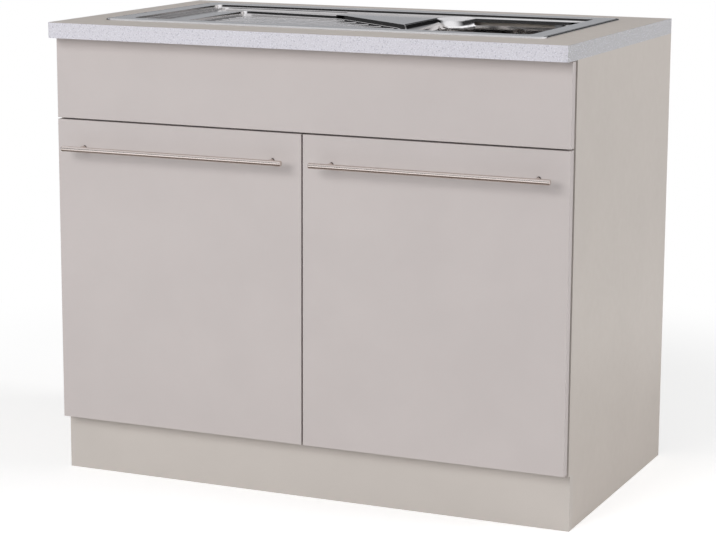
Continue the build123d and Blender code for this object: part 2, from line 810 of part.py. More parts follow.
with BuildPart() as overflow_grille:
    centre = (bowl_x, bowl_rear, overflow_z)
    face = (bowl_x, bowl_rear - grille_thickness, overflow_z)
    bar(centre, face, overflow_radius)
    bar(centre, face, overflow_screw_radius, Mode.SUBTRACT)
    for index in range(8):
        angle = radians(45 * index)
        x = bowl_x + overflow_radius * 0.62 * cos(angle)
        z = overflow_z + overflow_radius * 0.62 * sin(angle)
        bar((x, bowl_rear, z), (x, bowl_rear - grille_thickness, z), 2.6, Mode.SUBTRACT)

with BuildPart() as overflow_screw:
    seat = (bowl_x, bowl_rear - grille_thickness, overflow_z)
    screw(seat, (0, 1, 0), grille_thickness + sheet + elbow_depth - 4.0, overflow_screw_radius, 4.5, 1.5)

with BuildPart() as overflow_elbow:
    back = elbow_front + elbow_depth
    bar((bowl_x, elbow_front, overflow_z), (bowl_x, back, overflow_z), overflow_radius)
    foot_start = (bowl_x, elbow_middle, overflow_z - overflow_radius / 2)
    bar(foot_start, (bowl_x, elbow_middle, elbow_foot), overflow_pipe_radius + 1.0)
    hollow_end = (bowl_x, back - plastic_wall, overflow_z)
    bar((bowl_x, elbow_front, overflow_z), hollow_end, overflow_radius - plastic_wall, Mode.SUBTRACT)
    bore_start = (bowl_x, elbow_middle, overflow_z - overflow_radius / 2)
    bar(bore_start, (bowl_x, elbow_middle, elbow_foot), overflow_pipe_radius - 2.0, Mode.SUBTRACT)
    pipe_seat = (bowl_x, elbow_middle, elbow_foot + 12.0)
    bar(pipe_seat, (bowl_x, elbow_middle, elbow_foot), overflow_pipe_radius, Mode.SUBTRACT)
    bar((bowl_x, elbow_front, overflow_z), hollow_end, 5.0)
    screw_end = (bowl_x, back - 4.0, overflow_z)
    bar((bowl_x, elbow_front, overflow_z), screw_end, overflow_screw_radius, Mode.SUBTRACT)

with BuildPart() as overflow_pipe:
    with BuildLine() as route:
        FilletPolyline(
            (bowl_x, elbow_middle, elbow_foot + 12.0),
            (bowl_x, elbow_middle, port_z),
            (bowl_x, port_end - 12.0, port_z),
            radius=overflow_bend,
        )
    with BuildSketch(Plane(origin=route.line @ 0, z_dir=route.line % 0)):
        Circle(overflow_pipe_radius)
        Circle(overflow_pipe_radius - 1.5, mode=Mode.SUBTRACT)
    sweep()

trap_radius = trap_diameter / 2
trap_top = spigot_bottom - tail_length
trap_bottom = trap_top - trap_height
neck_height = 24.0
dip_bottom = trap_top - trap_height * 0.6
outlet_z = trap_top - trap_outlet_drop
outlet_neck_end = sink_middle_y + trap_radius + neck_height
outlet_end = rear_y - 2.0
outlet_end_radius = pipe_radius - outlet_step
cup_bottom = trap_bottom - 8.0

with BuildPart() as tail_pipe:
    bar((bowl_x, sink_middle_y, spigot_bottom + 18.0), (bowl_x, sink_middle_y, dip_bottom), pipe_radius)
    bar(
        (bowl_x, sink_middle_y, spigot_bottom + 18.0),
        (bowl_x, sink_middle_y, dip_bottom),
        pipe_bore,
        Mode.SUBTRACT,
    )

with BuildPart() as trap_body:
    turned([
        (trap_radius, trap_bottom),
        (trap_radius, trap_top),
        (spigot_radius, trap_top),
        (spigot_radius, trap_top + neck_height),
        (pipe_radius, trap_top + neck_height),
        (pipe_radius, trap_top - plastic_wall),
        (trap_radius - plastic_wall, trap_top - plastic_wall),
        (trap_radius - plastic_wall, trap_bottom),
    ])
    neck_start = (bowl_x, sink_middle_y + trap_radius - plastic_wall - 1.5, outlet_z)
    bar(neck_start, (bowl_x, outlet_neck_end, outlet_z), spigot_radius)
    bar(neck_start, (bowl_x, outlet_neck_end, outlet_z), outlet_end_radius, Mode.SUBTRACT)
    turned(
        [
            (0, trap_bottom),
            (trap_radius - plastic_wall, trap_bottom),
            (trap_radius - plastic_wall, trap_top - plastic_wall),
            (0, trap_top - plastic_wall),
        ],
        mode=Mode.SUBTRACT,
    )

with BuildPart() as trap_cup:
    turned([
        (0, cup_bottom),
        (trap_radius + plastic_wall, cup_bottom),
        (trap_radius + plastic_wall, cup_bottom + trap_cup_height),
        (trap_radius, cup_bottom + trap_cup_height),
        (trap_radius, cup_bottom + plastic_wall),
        (0, cup_bottom + plastic_wall),
    ])

outlet_start = outlet_neck_end - 16.0
outlet_shoulder = outlet_neck_end + nut_cap + 2.0

with BuildPart() as outlet_pipe:
    start = (bowl_x, outlet_start, outlet_z)
    shoulder = (bowl_x, outlet_shoulder, outlet_z)
    bar(start, shoulder, outlet_end_radius)
    bar(shoulder, (bowl_x, outlet_end, outlet_z), pipe_radius)
    bar(start, (bowl_x, outlet_end, outlet_z), pipe_bore, Mode.SUBTRACT)


def slip_nut(mouth, outward, pipe_hole):
    """Nut over a neck: its long bore holds the neck, its short one the pipe."""
    mouth = Vector(*mouth)
    outward = Vector(*outward)
    inner_end = mouth - outward * (nut_length - nut_cap)
    outer_end = mouth + outward * nut_cap
    bar(tuple(inner_end), tuple(outer_end), spigot_radius + nut_wall)
    bar(tuple(inner_end), tuple(mouth), spigot_radius, Mode.SUBTRACT)
    bar(tuple(mouth), tuple(outer_end), pipe_hole, Mode.SUBTRACT)


with BuildPart() as slip_nuts:
    slip_nut((bowl_x, sink_middle_y, spigot_bottom), (0, 0, -1), pipe_radius)
    slip_nut((bowl_x, sink_middle_y, trap_top + neck_height), (0, 0, 1), pipe_radius)
    slip_nut((bowl_x, outlet_neck_end, outlet_z), (0, 1, 0), outlet_end_radius)

# ---------------------------------------------------------------- concealed hinges
# Seen from above, u runs from a side panel's inner face into the cabinet and v from the
# carcass edge towards the front. The four-bar linkage of the real hinge is opened at one
# pivot: the door turns about a fixed pole inside its edge, and each link turns on a pin in
# the cup while its slotted end runs along the arm's pin.
door_edge_u = inner_x - door_outer_x
pole = (door_edge_u + pivot_inset, front_clearance + pivot_depth)
cup_pin = (pole[0] + link_pin_from_pivot[0], pole[1] + link_pin_from_pivot[1])
link_pin_distance = hypot(*link_pin_from_pivot)
link_pin_angle = atan2(link_pin_from_pivot[1], link_pin_from_pivot[0])
arm_pin_angle = link_pin_angle + radians(door_opening / 2)
arm_pin = (
    pole[0] + arm_pin_reach * cos(arm_pin_angle),
    pole[1] + arm_pin_reach * sin(arm_pin_angle),
)
link_long = hypot(arm_pin[0] - cup_pin[0], arm_pin[1] - cup_pin[1])
link_short = arm_pin_reach - link_pin_distance
link_angle = atan2(arm_pin[1] - cup_pin[1], arm_pin[0] - cup_pin[0])
cup_u = door_edge_u + cup_edge_distance + cup_diameter / 2
cup_radius = cup_diameter / 2
cup_pin_radius = 1.3
cup_pin_half = cup_radius * 0.64
arm_pin_radius = 1.5
slot_radius = 2.3
link_web = 3.0
link_eye_radius = 2.5
slot_rim = 1.2
hook_reach = 6.0
hook_turn = radians(38.0)
nose_half = 4.2
nose_radius = 3.2
link_gap = 0.6
arm_half = 8.0
arm_wall = 1.5
arm_height = 6.5
arm_length = 60.0
plate_block_half = 6.0
plate_wing_half = 8.0
plate_wing_height = 24.0
cup_screw_u = cup_u + 9.5
cup_screw_radius = 1.75
cup_screw_depth = 11.0
cup_screw_head = 3.2


def hinge_point(side, place, z):
    """Point from hinge coordinates (u, v) and a height."""
    return (side * (inner_x - place[0]), carcass_front_y - place[1], z)


def hinge_block(side, u, v, z, mode=Mode.ADD):
    """Box between limits in hinge coordinates."""
    x = [side * (inner_x - limit) for limit in u]
    y = [carcass_front_y - limit for limit in v]
    block(x, y, z, mode=mode)


def hinge_pin(side, place, hinge_z, half, radius, mode=Mode.ADD):
    """Upright pin through a hinge, centred on its height."""
    start = hinge_point(side, place, hinge_z - half)
    bar(start, hinge_point(side, place, hinge_z + half), radius, mode)


def hinge_cups(side):
    """Cups with their flanges and link pins, two on a door."""
    with BuildPart() as made:
        for hinge_z in hinge_heights:
            mouth = hinge_point(side, (cup_u, front_clearance), hinge_z)
            floor = hinge_point(side, (cup_u, front_clearance + cup_depth), hinge_z)
            bar(mouth, floor, cup_radius)
            hinge_block(
                side,
                (cup_u - cup_radius / 2, cup_u + cup_radius),
                (front_clearance - cup_flange, front_clearance),
                (hinge_z - cup_flange_height / 2, hinge_z + cup_flange_height / 2),
            )
            front = hinge_point(side, (cup_u, front_clearance - cup_flange), hinge_z)
            inside = hinge_point(side, (cup_u, front_clearance + cup_depth - cup_wall), hinge_z)
            bar(front, inside, cup_radius - cup_wall, Mode.SUBTRACT)
            hinge_pin(side, cup_pin, hinge_z, cup_pin_half, cup_pin_radius)
            for z in (hinge_z - cup_screw_spacing / 2, hinge_z + cup_screw_spacing / 2):
                start = hinge_point(side, (cup_screw_u, front_clearance - cup_flange), z)
                end = hinge_point(side, (cup_screw_u, front_clearance), z)
                bar(start, end, cup_screw_radius, Mode.SUBTRACT)
                bar(start, end, cup_screw_head, Mode.SUBTRACT)
    return made


def hinge_cup_screws(side):
    """Countersunk screws of both cups, flush with the flanges."""
    with BuildPart() as made:
        for hinge_z in hinge_heights:
            for z in (hinge_z - cup_screw_spacing / 2, hinge_z + cup_screw_spacing / 2):
                seat = hinge_point(side, (cup_screw_u, front_clearance), z)
                screw(seat, (0, -1, 0), cup_screw_depth, cup_screw_radius, cup_screw_head, cup_flange)
    return made


def hinge_arms(side):
    """Arms from the plates to the noses that carry the links."""
    with BuildPart() as made:
        for hinge_z in hinge_heights:
            channel_v = (-arm_length, -nose_radius)
            channel_u = (plate_height, plate_height + arm_height)
            hinge_block(side, channel_u, channel_v, (hinge_z - arm_half, hinge_z + arm_half))
            hinge_block(
                side,
                (plate_height, plate_height + arm_height - arm_wall),
                (-arm_length, -3 * nose_radius),
                (hinge_z - arm_half + arm_wall, hinge_z + arm_half - arm_wall),
                mode=Mode.SUBTRACT,
            )
            hinge_block(
                side,
                (arm_pin[0] - nose_radius, arm_pin[0] + nose_radius),
                (-nose_radius, arm_pin[1]),
                (hinge_z - nose_half, hinge_z + nose_half),
            )
            hinge_pin(side, arm_pin, hinge_z, nose_half, nose_radius)
            hinge_pin(side, arm_pin, hinge_z, nose_half + link_gap + link_thickness, arm_pin_radius)
    return made


def hinge_plates(side):
    """Mounting plates on a side panel's inner face."""
    with BuildPart() as made:
        for hinge_z in hinge_heights:
            wing_v = (-plate_setback - plate_wing_half, -plate_setback + plate_wing_half)
            wing_z = (hinge_z - plate_wing_height, hinge_z + plate_wing_height)
            hinge_block(side, (0, plate_wing), wing_v, wing_z)
            hinge_block(
                side,
                (0, plate_height),
                (-arm_length, -plate_setback + 2 * plate_wing_half),
                (hinge_z - plate_block_half, hinge_z + plate_block_half),
            )
            for z in plate_screw_heights(hinge_z):
                start = hinge_point(side, (0, -plate_setback), z)
                end = hinge_point(side, (plate_wing, -plate_setback), z)
                bar(start, end, plate_screw_radius, Mode.SUBTRACT)
    return made


def hinge_plate_screws(side):
    """Screws of both mounting plates."""
    with BuildPart() as made:
        for hinge_z in hinge_heights:
            for z in plate_screw_heights(hinge_z):
                seat = hinge_point(side, (plate_wing, -plate_setback), z)
                screw(seat, (side, 0, 0), plate_screw_depth, plate_screw_radius, angle_head_radius)
    return made


def link_plan(side, z):
    """Outline of a hooked link with its eye and slot, at height z."""
    knee = (
        cup_pin[0] + hook_reach * cos(link_angle + hook_turn),
        cup_pin[1] + hook_reach * sin(link_angle + hook_turn),
    )
    near = link_short - link_play
    far = link_long + link_play
    middle = (near + far) / 2
    slot = (cup_pin[0] + middle * cos(link_angle), cup_pin[1] + middle * sin(link_angle))
    points = [hinge_point(side, place, z)[:2] for place in (cup_pin, knee, slot)]
    slot_turn = degrees(atan2(points[2][1] - points[0][1], points[2][0] - points[0][0]))
    with BuildSketch(Plane.XY.offset(z)) as plan:
        with BuildLine() as spine:
            Polyline(*points)
        trace(spine.line, line_width=link_web)
        with Locations(points[0]):
            Circle(link_eye_radius)
        with Locations(points[2]):
            SlotCenterToCenter(far - near, 2 * (slot_radius + slot_rim), rotation=slot_turn)
            SlotCenterToCenter(far - near, 2 * slot_radius, rotation=slot_turn, mode=Mode.SUBTRACT)
        with Locations(points[0]):
            Circle(cup_pin_radius + link_play, mode=Mode.SUBTRACT)
    return plan.sketch


def hinge_links(side):
    """Link plates above and below both noses of a door."""
    with BuildPart() as made:
        for hinge_z in hinge_heights:
            for low in (nose_half + link_gap, -nose_half - link_gap - link_thickness):
                extrude(link_plan(side, hinge_z + low), amount=link_thickness)
    return made


# ---------------------------------------------------------------- doors and handles
handle_z = door_top - handle_drop
handle_radius = handle_diameter / 2
handle_y = door_face_y - handle_projection + handle_radius
door_middle_x = front_gap / 2 + door_width / 2
handle_screw_radius = handle_screw_diameter / 2
front_edge_radius = 0.8
buffer_radius = 4.0
buffer_thickness = front_clearance - 0.4
buffer_inset = 12.0
buffer_zs = [plinth_height + board / 2 + 3.0, door_top - 8.0]


def handle_hole_xs(side):
    """Places of a door's two handle screws along X."""
    middle = side * door_middle_x
    return [middle - handle_hole_spacing / 2, middle + handle_hole_spacing / 2]


def door(side):
    """Door board with its cup holes and handle holes."""
    with BuildPart() as made:
        block(
            (side * front_gap / 2, side * door_outer_x),
            (door_face_y, door_back_y),
            (door_bottom, door_top),
        )
        fillet(made.faces().sort_by(Axis.Y)[0].edges(), front_edge_radius)
        for hinge_z in hinge_heights:
            mouth = hinge_point(side, (cup_u, front_clearance), hinge_z)
            floor = hinge_point(side, (cup_u, front_clearance + cup_depth), hinge_z)
            bar(mouth, floor, cup_radius, Mode.SUBTRACT)
            for z in (hinge_z - cup_screw_spacing / 2, hinge_z + cup_screw_spacing / 2):
                start = hinge_point(side, (cup_screw_u, front_clearance), z)
                end = hinge_point(side, (cup_screw_u, front_clearance + cup_screw_depth), z)
                bar(start, end, cup_screw_radius, Mode.SUBTRACT)
        for x in handle_hole_xs(side):
            start = (x, door_back_y, handle_z)
            bar(start, (x, door_face_y, handle_z), handle_screw_radius, Mode.SUBTRACT)
    return made


def handle_bar(side):
    """Round bar of a handle, its ends bevelled."""
    with BuildPart() as made:
        start = side * door_middle_x - handle_length / 2
        bar((start, handle_y, handle_z), (start + handle_length, handle_y, handle_z), handle_radius)
        chamfer(made.edges().filter_by(GeomType.CIRCLE), handle_end_chamfer)
    return made


def handle_posts(side):
    """Posts between the bar and the door, hollowed to the bar's round."""
    with BuildPart() as made:
        for x in handle_hole_xs(side):
            bar((x, door_face_y, handle_z), (x, handle_y, handle_z), handle_post_diameter / 2)
            end = (x, door_face_y - handle_screw_depth, handle_z)
            bar((x, door_face_y, handle_z), end, handle_screw_radius, Mode.SUBTRACT)
        start = side * door_middle_x - handle_length / 2
        end = (start + handle_length, handle_y, handle_z)
        bar((start, handle_y, handle_z), end, handle_radius, Mode.SUBTRACT)
    return made


def handle_screws(side):
    """Screws through the door into the handle's posts."""
    with BuildPart() as made:
        for x in handle_hole_xs(side):
            seat = (x, door_back_y, handle_z)
            length = front_thickness + handle_screw_depth
            screw(seat, (0, -1, 0), length, handle_screw_radius, handle_screw_radius * 2)
    return made


def door_buffers(side):
    """Soft discs that meet the carcass at the door's free edge."""
    with BuildPart() as made:
        for z in buffer_zs:
            x = side * (front_gap / 2 + buffer_inset)
            bar((x, door_back_y, z), (x, door_back_y + buffer_thickness, z), buffer_radius)
    return made


with BuildPart() as false_front:
    block((-door_outer_x, door_outer_x), (door_face_y, door_back_y), (false_bottom, false_top))
    fillet(false_front.faces().sort_by(Axis.Y)[0].edges(), front_edge_radius)
    for x in false_screw_xs:
        start = (x, door_back_y, false_screw_z)
        end = (x, door_back_y - false_screw_depth, false_screw_z)
        bar(start, end, false_screw_radius, Mode.SUBTRACT)

with BuildPart() as false_front_pads:
    for x in false_screw_xs:
        start = (x, door_back_y, false_screw_z)
        end = (x, carcass_front_y, false_screw_z)
        bar(start, end, false_pad_radius)
        bar(start, end, false_screw_radius, Mode.SUBTRACT)

with BuildPart() as false_front_screws:
    for x in false_screw_xs:
        seat = (x, carcass_front_y + board, false_screw_z)
        length = board + front_clearance + false_screw_depth
        screw(seat, (0, -1, 0), length, false_screw_radius, false_screw_radius * 2)

# ---------------------------------------------------------------- nodes
nodes = {
    "side_panel_left": side_panel_left,
    "side_panel_right": side_panel_right,
    "bottom_panel": bottom_panel,
    "front_rail": front_rail,
    "rear_rail": rear_rail,
    "back_panel": back_panel,
    "plinth_board": plinth_board,
    "cam_bolts": cam_bolts,
    "cam_discs": cam_discs,
    "dowels": dowels,
    "false_front": false_front,
    "false_front_pads": false_front_pads,
    "false_front_screws": false_front_screws,
    "worktop_board": worktop_board,
    "worktop_edging": worktop_edging,
    "angle_brackets": angle_brackets,
    "bracket_screws": bracket_screws,
    "sink": sink,
    "sink_seal": sink_seal,
    "sink_clips": sink_clips,
    "sink_clip_screws": sink_clip_screws,
    "strainer_flange": strainer_flange,
    "strainer_gasket": strainer_gasket,
    "strainer_body": strainer_body,
    "strainer_screw": strainer_screw,
    "basket": basket,
    "basket_knob": basket_knob,
    "basket_seal": basket_seal,
    "overflow_grille": overflow_grille,
    "overflow_screw": overflow_screw,
    "overflow_elbow": overflow_elbow,
    "overflow_pipe": overflow_pipe,
    "tail_pipe": tail_pipe,
    "trap_body": trap_body,
    "trap_cup": trap_cup,
    "outlet_pipe": outlet_pipe,
    "slip_nuts": slip_nuts,
}
for side_name, side in (("left", -1), ("right", 1)):
    nodes[f"door_{side_name}"] = door(side)
    nodes[f"handle_bar_{side_name}"] = handle_bar(side)
    nodes[f"handle_posts_{side_name}"] = handle_posts(side)
    nodes[f"handle_screws_{side_name}"] = handle_screws(side)
    nodes[f"door_buffers_{side_name}"] = door_buffers(side)
    nodes[f"hinge_cups_{side_name}"] = hinge_cups(side)
    nodes[f"hinge_cup_screws_{side_name}"] = hinge_cup_screws(side)
    nodes[f"hinge_links_{side_name}"] = hinge_links(side)
    nodes[f"hinge_arms_{side_name}"] = hinge_arms(side)
    nodes[f"hinge_plates_{side_name}"] = hinge_plates(side)
    nodes[f"hinge_plate_screws_{side_name}"] = hinge_plate_screws(side)

for name, piece in nodes.items():
    piece.part.label = name
    export_step(piece.part, f"parts/{name}.step")
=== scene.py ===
"""Kitchen sink unit: finishes, the pressed sink, the handles, the studio and the camera."""
import json
import logging
import math
from dataclasses import dataclass, field
from enum import Enum
from functools import partial
from typing import Callable, Sequence

import bpy
from mathutils import Matrix, Vector

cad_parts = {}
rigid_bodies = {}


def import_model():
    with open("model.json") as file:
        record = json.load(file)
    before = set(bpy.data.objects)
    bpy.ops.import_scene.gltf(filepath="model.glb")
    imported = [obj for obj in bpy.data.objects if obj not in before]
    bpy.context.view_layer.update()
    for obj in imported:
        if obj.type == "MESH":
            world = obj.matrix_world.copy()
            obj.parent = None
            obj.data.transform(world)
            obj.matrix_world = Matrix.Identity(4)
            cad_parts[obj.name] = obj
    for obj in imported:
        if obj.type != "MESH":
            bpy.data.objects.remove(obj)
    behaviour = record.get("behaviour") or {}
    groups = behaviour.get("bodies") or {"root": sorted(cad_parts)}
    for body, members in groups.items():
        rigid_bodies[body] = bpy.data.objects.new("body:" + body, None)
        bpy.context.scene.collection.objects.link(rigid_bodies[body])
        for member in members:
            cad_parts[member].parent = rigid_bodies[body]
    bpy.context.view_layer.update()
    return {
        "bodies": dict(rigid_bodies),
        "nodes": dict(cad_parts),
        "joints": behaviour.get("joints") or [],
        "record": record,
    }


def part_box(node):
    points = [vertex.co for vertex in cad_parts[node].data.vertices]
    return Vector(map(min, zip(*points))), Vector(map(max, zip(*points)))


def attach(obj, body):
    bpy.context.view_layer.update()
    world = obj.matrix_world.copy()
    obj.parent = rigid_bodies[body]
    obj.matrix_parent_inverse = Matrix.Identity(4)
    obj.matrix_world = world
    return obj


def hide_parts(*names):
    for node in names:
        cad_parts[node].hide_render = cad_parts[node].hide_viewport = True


log = logging.getLogger("sink_unit")

Colour = tuple[float, float, float]
Point = tuple[float, float, float]
Span = tuple[float, float]

WHITE: Colour = (1.0, 1.0, 1.0)
WHOLE: Span = (0.0, 1.0)
CORE: Span = (0.35, 0.65)  # middle of a noise's values
BROAD: Span = (0.3, 0.7)  # wider middle of them
MERGED = 1e-6  # points closer than this are one
LEVEL = 1e-5  # heights closer than this are one
UPRIGHT = 1e-4  # an edge that climbs more than this stands up


def tone(red: float, green: float, blue: float) -> Colour:
    """Linear colour of a display colour.

    Args:
        red: Red from 0 to 255.
        green: Green from 0 to 255.
        blue: Blue from 0 to 255.

    Returns:
        The three linear values.
    """
    def linear(value: float) -> float:
        """One channel made linear."""
        share = value / 255
        return share / 12.92 if share <= 0.04045 else ((share + 0.055) / 1.055) ** 2.4

    return linear(red), linear(green), linear(blue)


class Along(Enum):
    """Axis that a brushed finish runs along, as the stretch of its pattern."""

    X = (0.02, 1.0, 1.0)
    Y = (1.0, 0.02, 1.0)
    Z = (1.0, 1.0, 0.02)
    NONE = (1.0, 1.0, 1.0)


# ---------------------------------------------------------------- finishes
class Nodes:
    """Small builder for one node tree."""

    def __init__(self, tree: bpy.types.NodeTree) -> None:
        """Start with an empty tree."""
        self.tree = tree
        self.tree.nodes.clear()

    def add(self, kind: str) -> bpy.types.Node:
        """Add a node of one kind."""
        return self.tree.nodes.new(kind)

    def link(self, start: bpy.types.NodeSocket, end: bpy.types.NodeSocket) -> None:
        """Join an output to an input."""
        self.tree.links.new(start, end)

    def ranged(
        self, value: bpy.types.NodeSocket, source: Span, target: Span, smooth: bool = False
    ) -> bpy.types.NodeSocket:
        """Value moved from one range to another and held inside it.

        Args:
            value: Socket to read.
            source: Values where the change starts and ends.
            target: What these become.
            smooth: Whether the change eases in and out.

        Returns:
            The moved value.
        """
        node = self.add("ShaderNodeMapRange")
        if smooth:
            node.interpolation_type = "SMOOTHSTEP"
        node.inputs["From Min"].default_value = source[0]
        node.inputs["From Max"].default_value = source[1]
        node.inputs["To Min"].default_value = target[0]
        node.inputs["To Max"].default_value = target[1]
        self.link(value, node.inputs["Value"])
        return node.outputs["Result"]

    def blend(
        self,
        share: bpy.types.NodeSocket,
        first: Colour | bpy.types.NodeSocket,
        second: Colour | bpy.types.NodeSocket,
    ) -> bpy.types.NodeSocket:
        """Colour between two others.

        Args:
            share: Share of the second colour.
            first: Colour or colour socket where the share is 0.
            second: Colour or colour socket where the share is 1.

        Returns:
            The mixed colour.
        """
        node = self.add("ShaderNodeMix")
        node.data_type = "RGBA"
        self.link(share, node.inputs["Factor"])
        for name, colour in (("A", first), ("B", second)):
            socket = [end for end in node.inputs if end.name == name and end.type == "RGBA"][0]
            if isinstance(colour, bpy.types.NodeSocket):
                self.link(colour, socket)
            else:
                socket.default_value = (*colour, 1.0)
        return [end for end in node.outputs if end.type == "RGBA"][0]

    def maths(
        self,
        operation: str,
        first: bpy.types.NodeSocket,
        second: float | bpy.types.NodeSocket,
    ) -> bpy.types.NodeSocket:
        """Two values brought together.

        Args:
            operation: Name of the operation.
            first: First value.
            second: Second value, a number or a socket.

        Returns:
            The result.
        """
        node = self.add("ShaderNodeMath")
        node.operation = operation
        self.link(first, node.inputs[0])
        if isinstance(second, bpy.types.NodeSocket):
            self.link(second, node.inputs[1])
        else:
            node.inputs[1].default_value = second
        return node.outputs[0]

    def layered(
        self, share: bpy.types.NodeSocket, first: bpy.types.NodeSocket, second: bpy.types.NodeSocket
    ) -> bpy.types.NodeSocket:
        """Shader between two others.

        Args:
            share: Share of the second shader.
            first: Shader where the share is 0.
            second: Shader where the share is 1.

        Returns:
            The mixed shader.
        """
        node = self.add("ShaderNodeMixShader")
        for socket, source in zip(node.inputs, (share, first, second)):
            self.link(source, socket)
        return node.outputs[0]


class Graph(Nodes):
    """Builder of one material around a single shader."""

    def __init__(self, name: str) -> None:
        """Start a material with its shader and its output.

        Args:
            name: Name of the material.
        """
        self.material = bpy.data.materials.new(name)
        self.material.use_nodes = True
        super().__init__(self.material.node_tree)
        self.shader = self.add("ShaderNodeBsdfPrincipled")
        self.link(self.shader.outputs["BSDF"], self.add("ShaderNodeOutputMaterial").inputs["Surface"])
        self.place = self.add("ShaderNodeTexCoord").outputs["Object"]

    def stretched(self, stretch: Sequence[float]) -> bpy.types.NodeSocket:
        """Object place scaled along each axis.

        Args:
            stretch: Factor along X, Y and Z.

        Returns:
            The scaled place.
        """
        mapping = self.add("ShaderNodeMapping")
        mapping.inputs["Scale"].default_value = stretch
        self.link(self.place, mapping.inputs["Vector"])
        return mapping.outputs["Vector"]

    def noise(
        self, scale: float, detail: float = 2.0, place: bpy.types.NodeSocket | None = None
    ) -> bpy.types.NodeSocket:
        """Noise over the object's place.

        Args:
            scale: Features per metre, roughly.
            detail: Octaves of the noise.
            place: Place to read, the object's own by default.

        Returns:
            The noise from 0 to 1.
        """
        node = self.add("ShaderNodeTexNoise")
        node.inputs["Scale"].default_value = scale
        node.inputs["Detail"].default_value = detail
        self.link(place or self.place, node.inputs["Vector"])
        return node.outputs["Fac"]

    def cells(self, scale: float) -> bpy.types.NodeSocket:
        """Distance from the middle of scattered cells.

        Args:
            scale: Cells per metre, roughly.

        Returns:
            The distance.
        """
        node = self.add("ShaderNodeTexVoronoi")
        node.inputs["Scale"].default_value = scale
        self.link(self.place, node.inputs["Vector"])
        return node.outputs["Distance"]

    def axis(self, letter: str) -> bpy.types.NodeSocket:
        """One coordinate of the object's place."""
        node = self.add("ShaderNodeSeparateXYZ")
        self.link(self.place, node.inputs[0])
        return node.outputs[letter]

    def bump(self, height: bpy.types.NodeSocket, depth: float) -> None:
        """Raise the surface by a height.

        Args:
            height: Socket from 0 to 1.
            depth: Height of 1 in metres.
        """
        node = self.add("ShaderNodeBump")
        node.inputs["Strength"].default_value = 1.0
        node.inputs["Distance"].default_value = depth
        self.link(height, node.inputs["Height"])
        self.link(node.outputs["Normal"], self.shader.inputs["Normal"])

    def surface(self, socket: str, value: float) -> None:
        """Set one uniform value of the shader."""
        self.shader.inputs[socket].default_value = value

    def colour(self, source: bpy.types.NodeSocket) -> None:
        """Give the shader its colour."""
        self.link(source, self.shader.inputs["Base Color"])

    def roughness(self, source: bpy.types.NodeSocket) -> None:
        """Give the shader its roughness."""
        self.link(source, self.shader.inputs["Roughness"])


@dataclass(frozen=True)
class Laminate:
    """Smooth melamine face with a faint mottle and a fine pearl texture."""

    name: str
    face: Colour
    shade: float = 0.965
    gloss: Span = (0.42, 0.52)
    pearl: float = 1e-5
    clouds: float = 9.0
    flecks: float = 700.0
    smears: float = 60.0
    grains: float = 900.0

    def build(self) -> bpy.types.Material:
        """Build the material.

        Returns:
            The finished material.
        """
        graph = Graph(self.name)
        darker = tuple(value * self.shade for value in self.face)
        cloud = graph.ranged(graph.noise(self.clouds, 3.0), CORE, WHOLE)
        fleck = graph.ranged(graph.noise(self.flecks, 1.0), CORE, (0.0, 0.5))
        base = graph.blend(cloud, self.face, darker)
        graph.colour(graph.blend(fleck, base, darker))
        graph.roughness(graph.ranged(graph.noise(self.smears, 3.0), BROAD, self.gloss))
        graph.bump(graph.noise(self.grains), self.pearl)
        return graph.material


@dataclass(frozen=True)
class SpeckledStrip:
    """Edging of the worktop, speckled in several pale greys; the end strip is greyer."""

    name: str
    front: Colour
    end: Colour
    light_fleck: Colour
    dark_fleck: Colour
    end_from: float
    gloss: Span = (0.42, 0.56)
    pale_flecks: float = 420.0
    dark_flecks: float = 330.0
    patches: float = 300.0
    smears: float = 200.0
    grains: float = 800.0
    depth: float = 2e-5

    def build(self) -> bpy.types.Material:
        """Build the material.

        Returns:
            The finished material.
        """
        graph = Graph(self.name)
        turn = graph.maths("GREATER_THAN", graph.axis("X"), self.end_from)
        base = graph.blend(turn, self.front, self.end)
        pale = graph.ranged(graph.noise(self.pale_flecks), (0.52, 0.66), (0.0, 0.85))
        spots = graph.ranged(graph.cells(self.dark_flecks), (0.22, 0.42), (1.0, 0.0))
        patchy = graph.ranged(graph.noise(self.patches, 1.0), (0.46, 0.56), (0.0, 0.75))
        flecked = graph.blend(pale, base, self.light_fleck)
        graph.colour(graph.blend(graph.maths("MULTIPLY", spots, patchy), flecked, self.dark_fleck))
        graph.roughness(graph.ranged(graph.noise(self.smears), BROAD, self.gloss))
        graph.bump(graph.noise(self.grains), self.depth)
        return graph.material


@dataclass(frozen=True)
class Steel:
    """Brushed or satin metal whose streaks run along one axis."""

    name: str
    colour: Colour
    gloss: Span = (0.16, 0.28)
    along: Along = Along.X
    streaks: float = 900.0
    depth: float = 4e-6
    shade: float = 0.9

    def build(self) -> bpy.types.Material:
        """Build the material.

        Returns:
            The finished material.
        """
        graph = Graph(self.name)
        place = graph.stretched(self.along.value)
        fine = graph.noise(self.streaks, 3.0, place)
        darker = tuple(value * self.shade for value in self.colour)
        graph.colour(graph.blend(graph.ranged(fine, BROAD, WHOLE), self.colour, darker))
        graph.roughness(graph.ranged(fine, BROAD, self.gloss))
        graph.surface("Metallic", 1.0)
        graph.bump(fine, self.depth)
        return graph.material


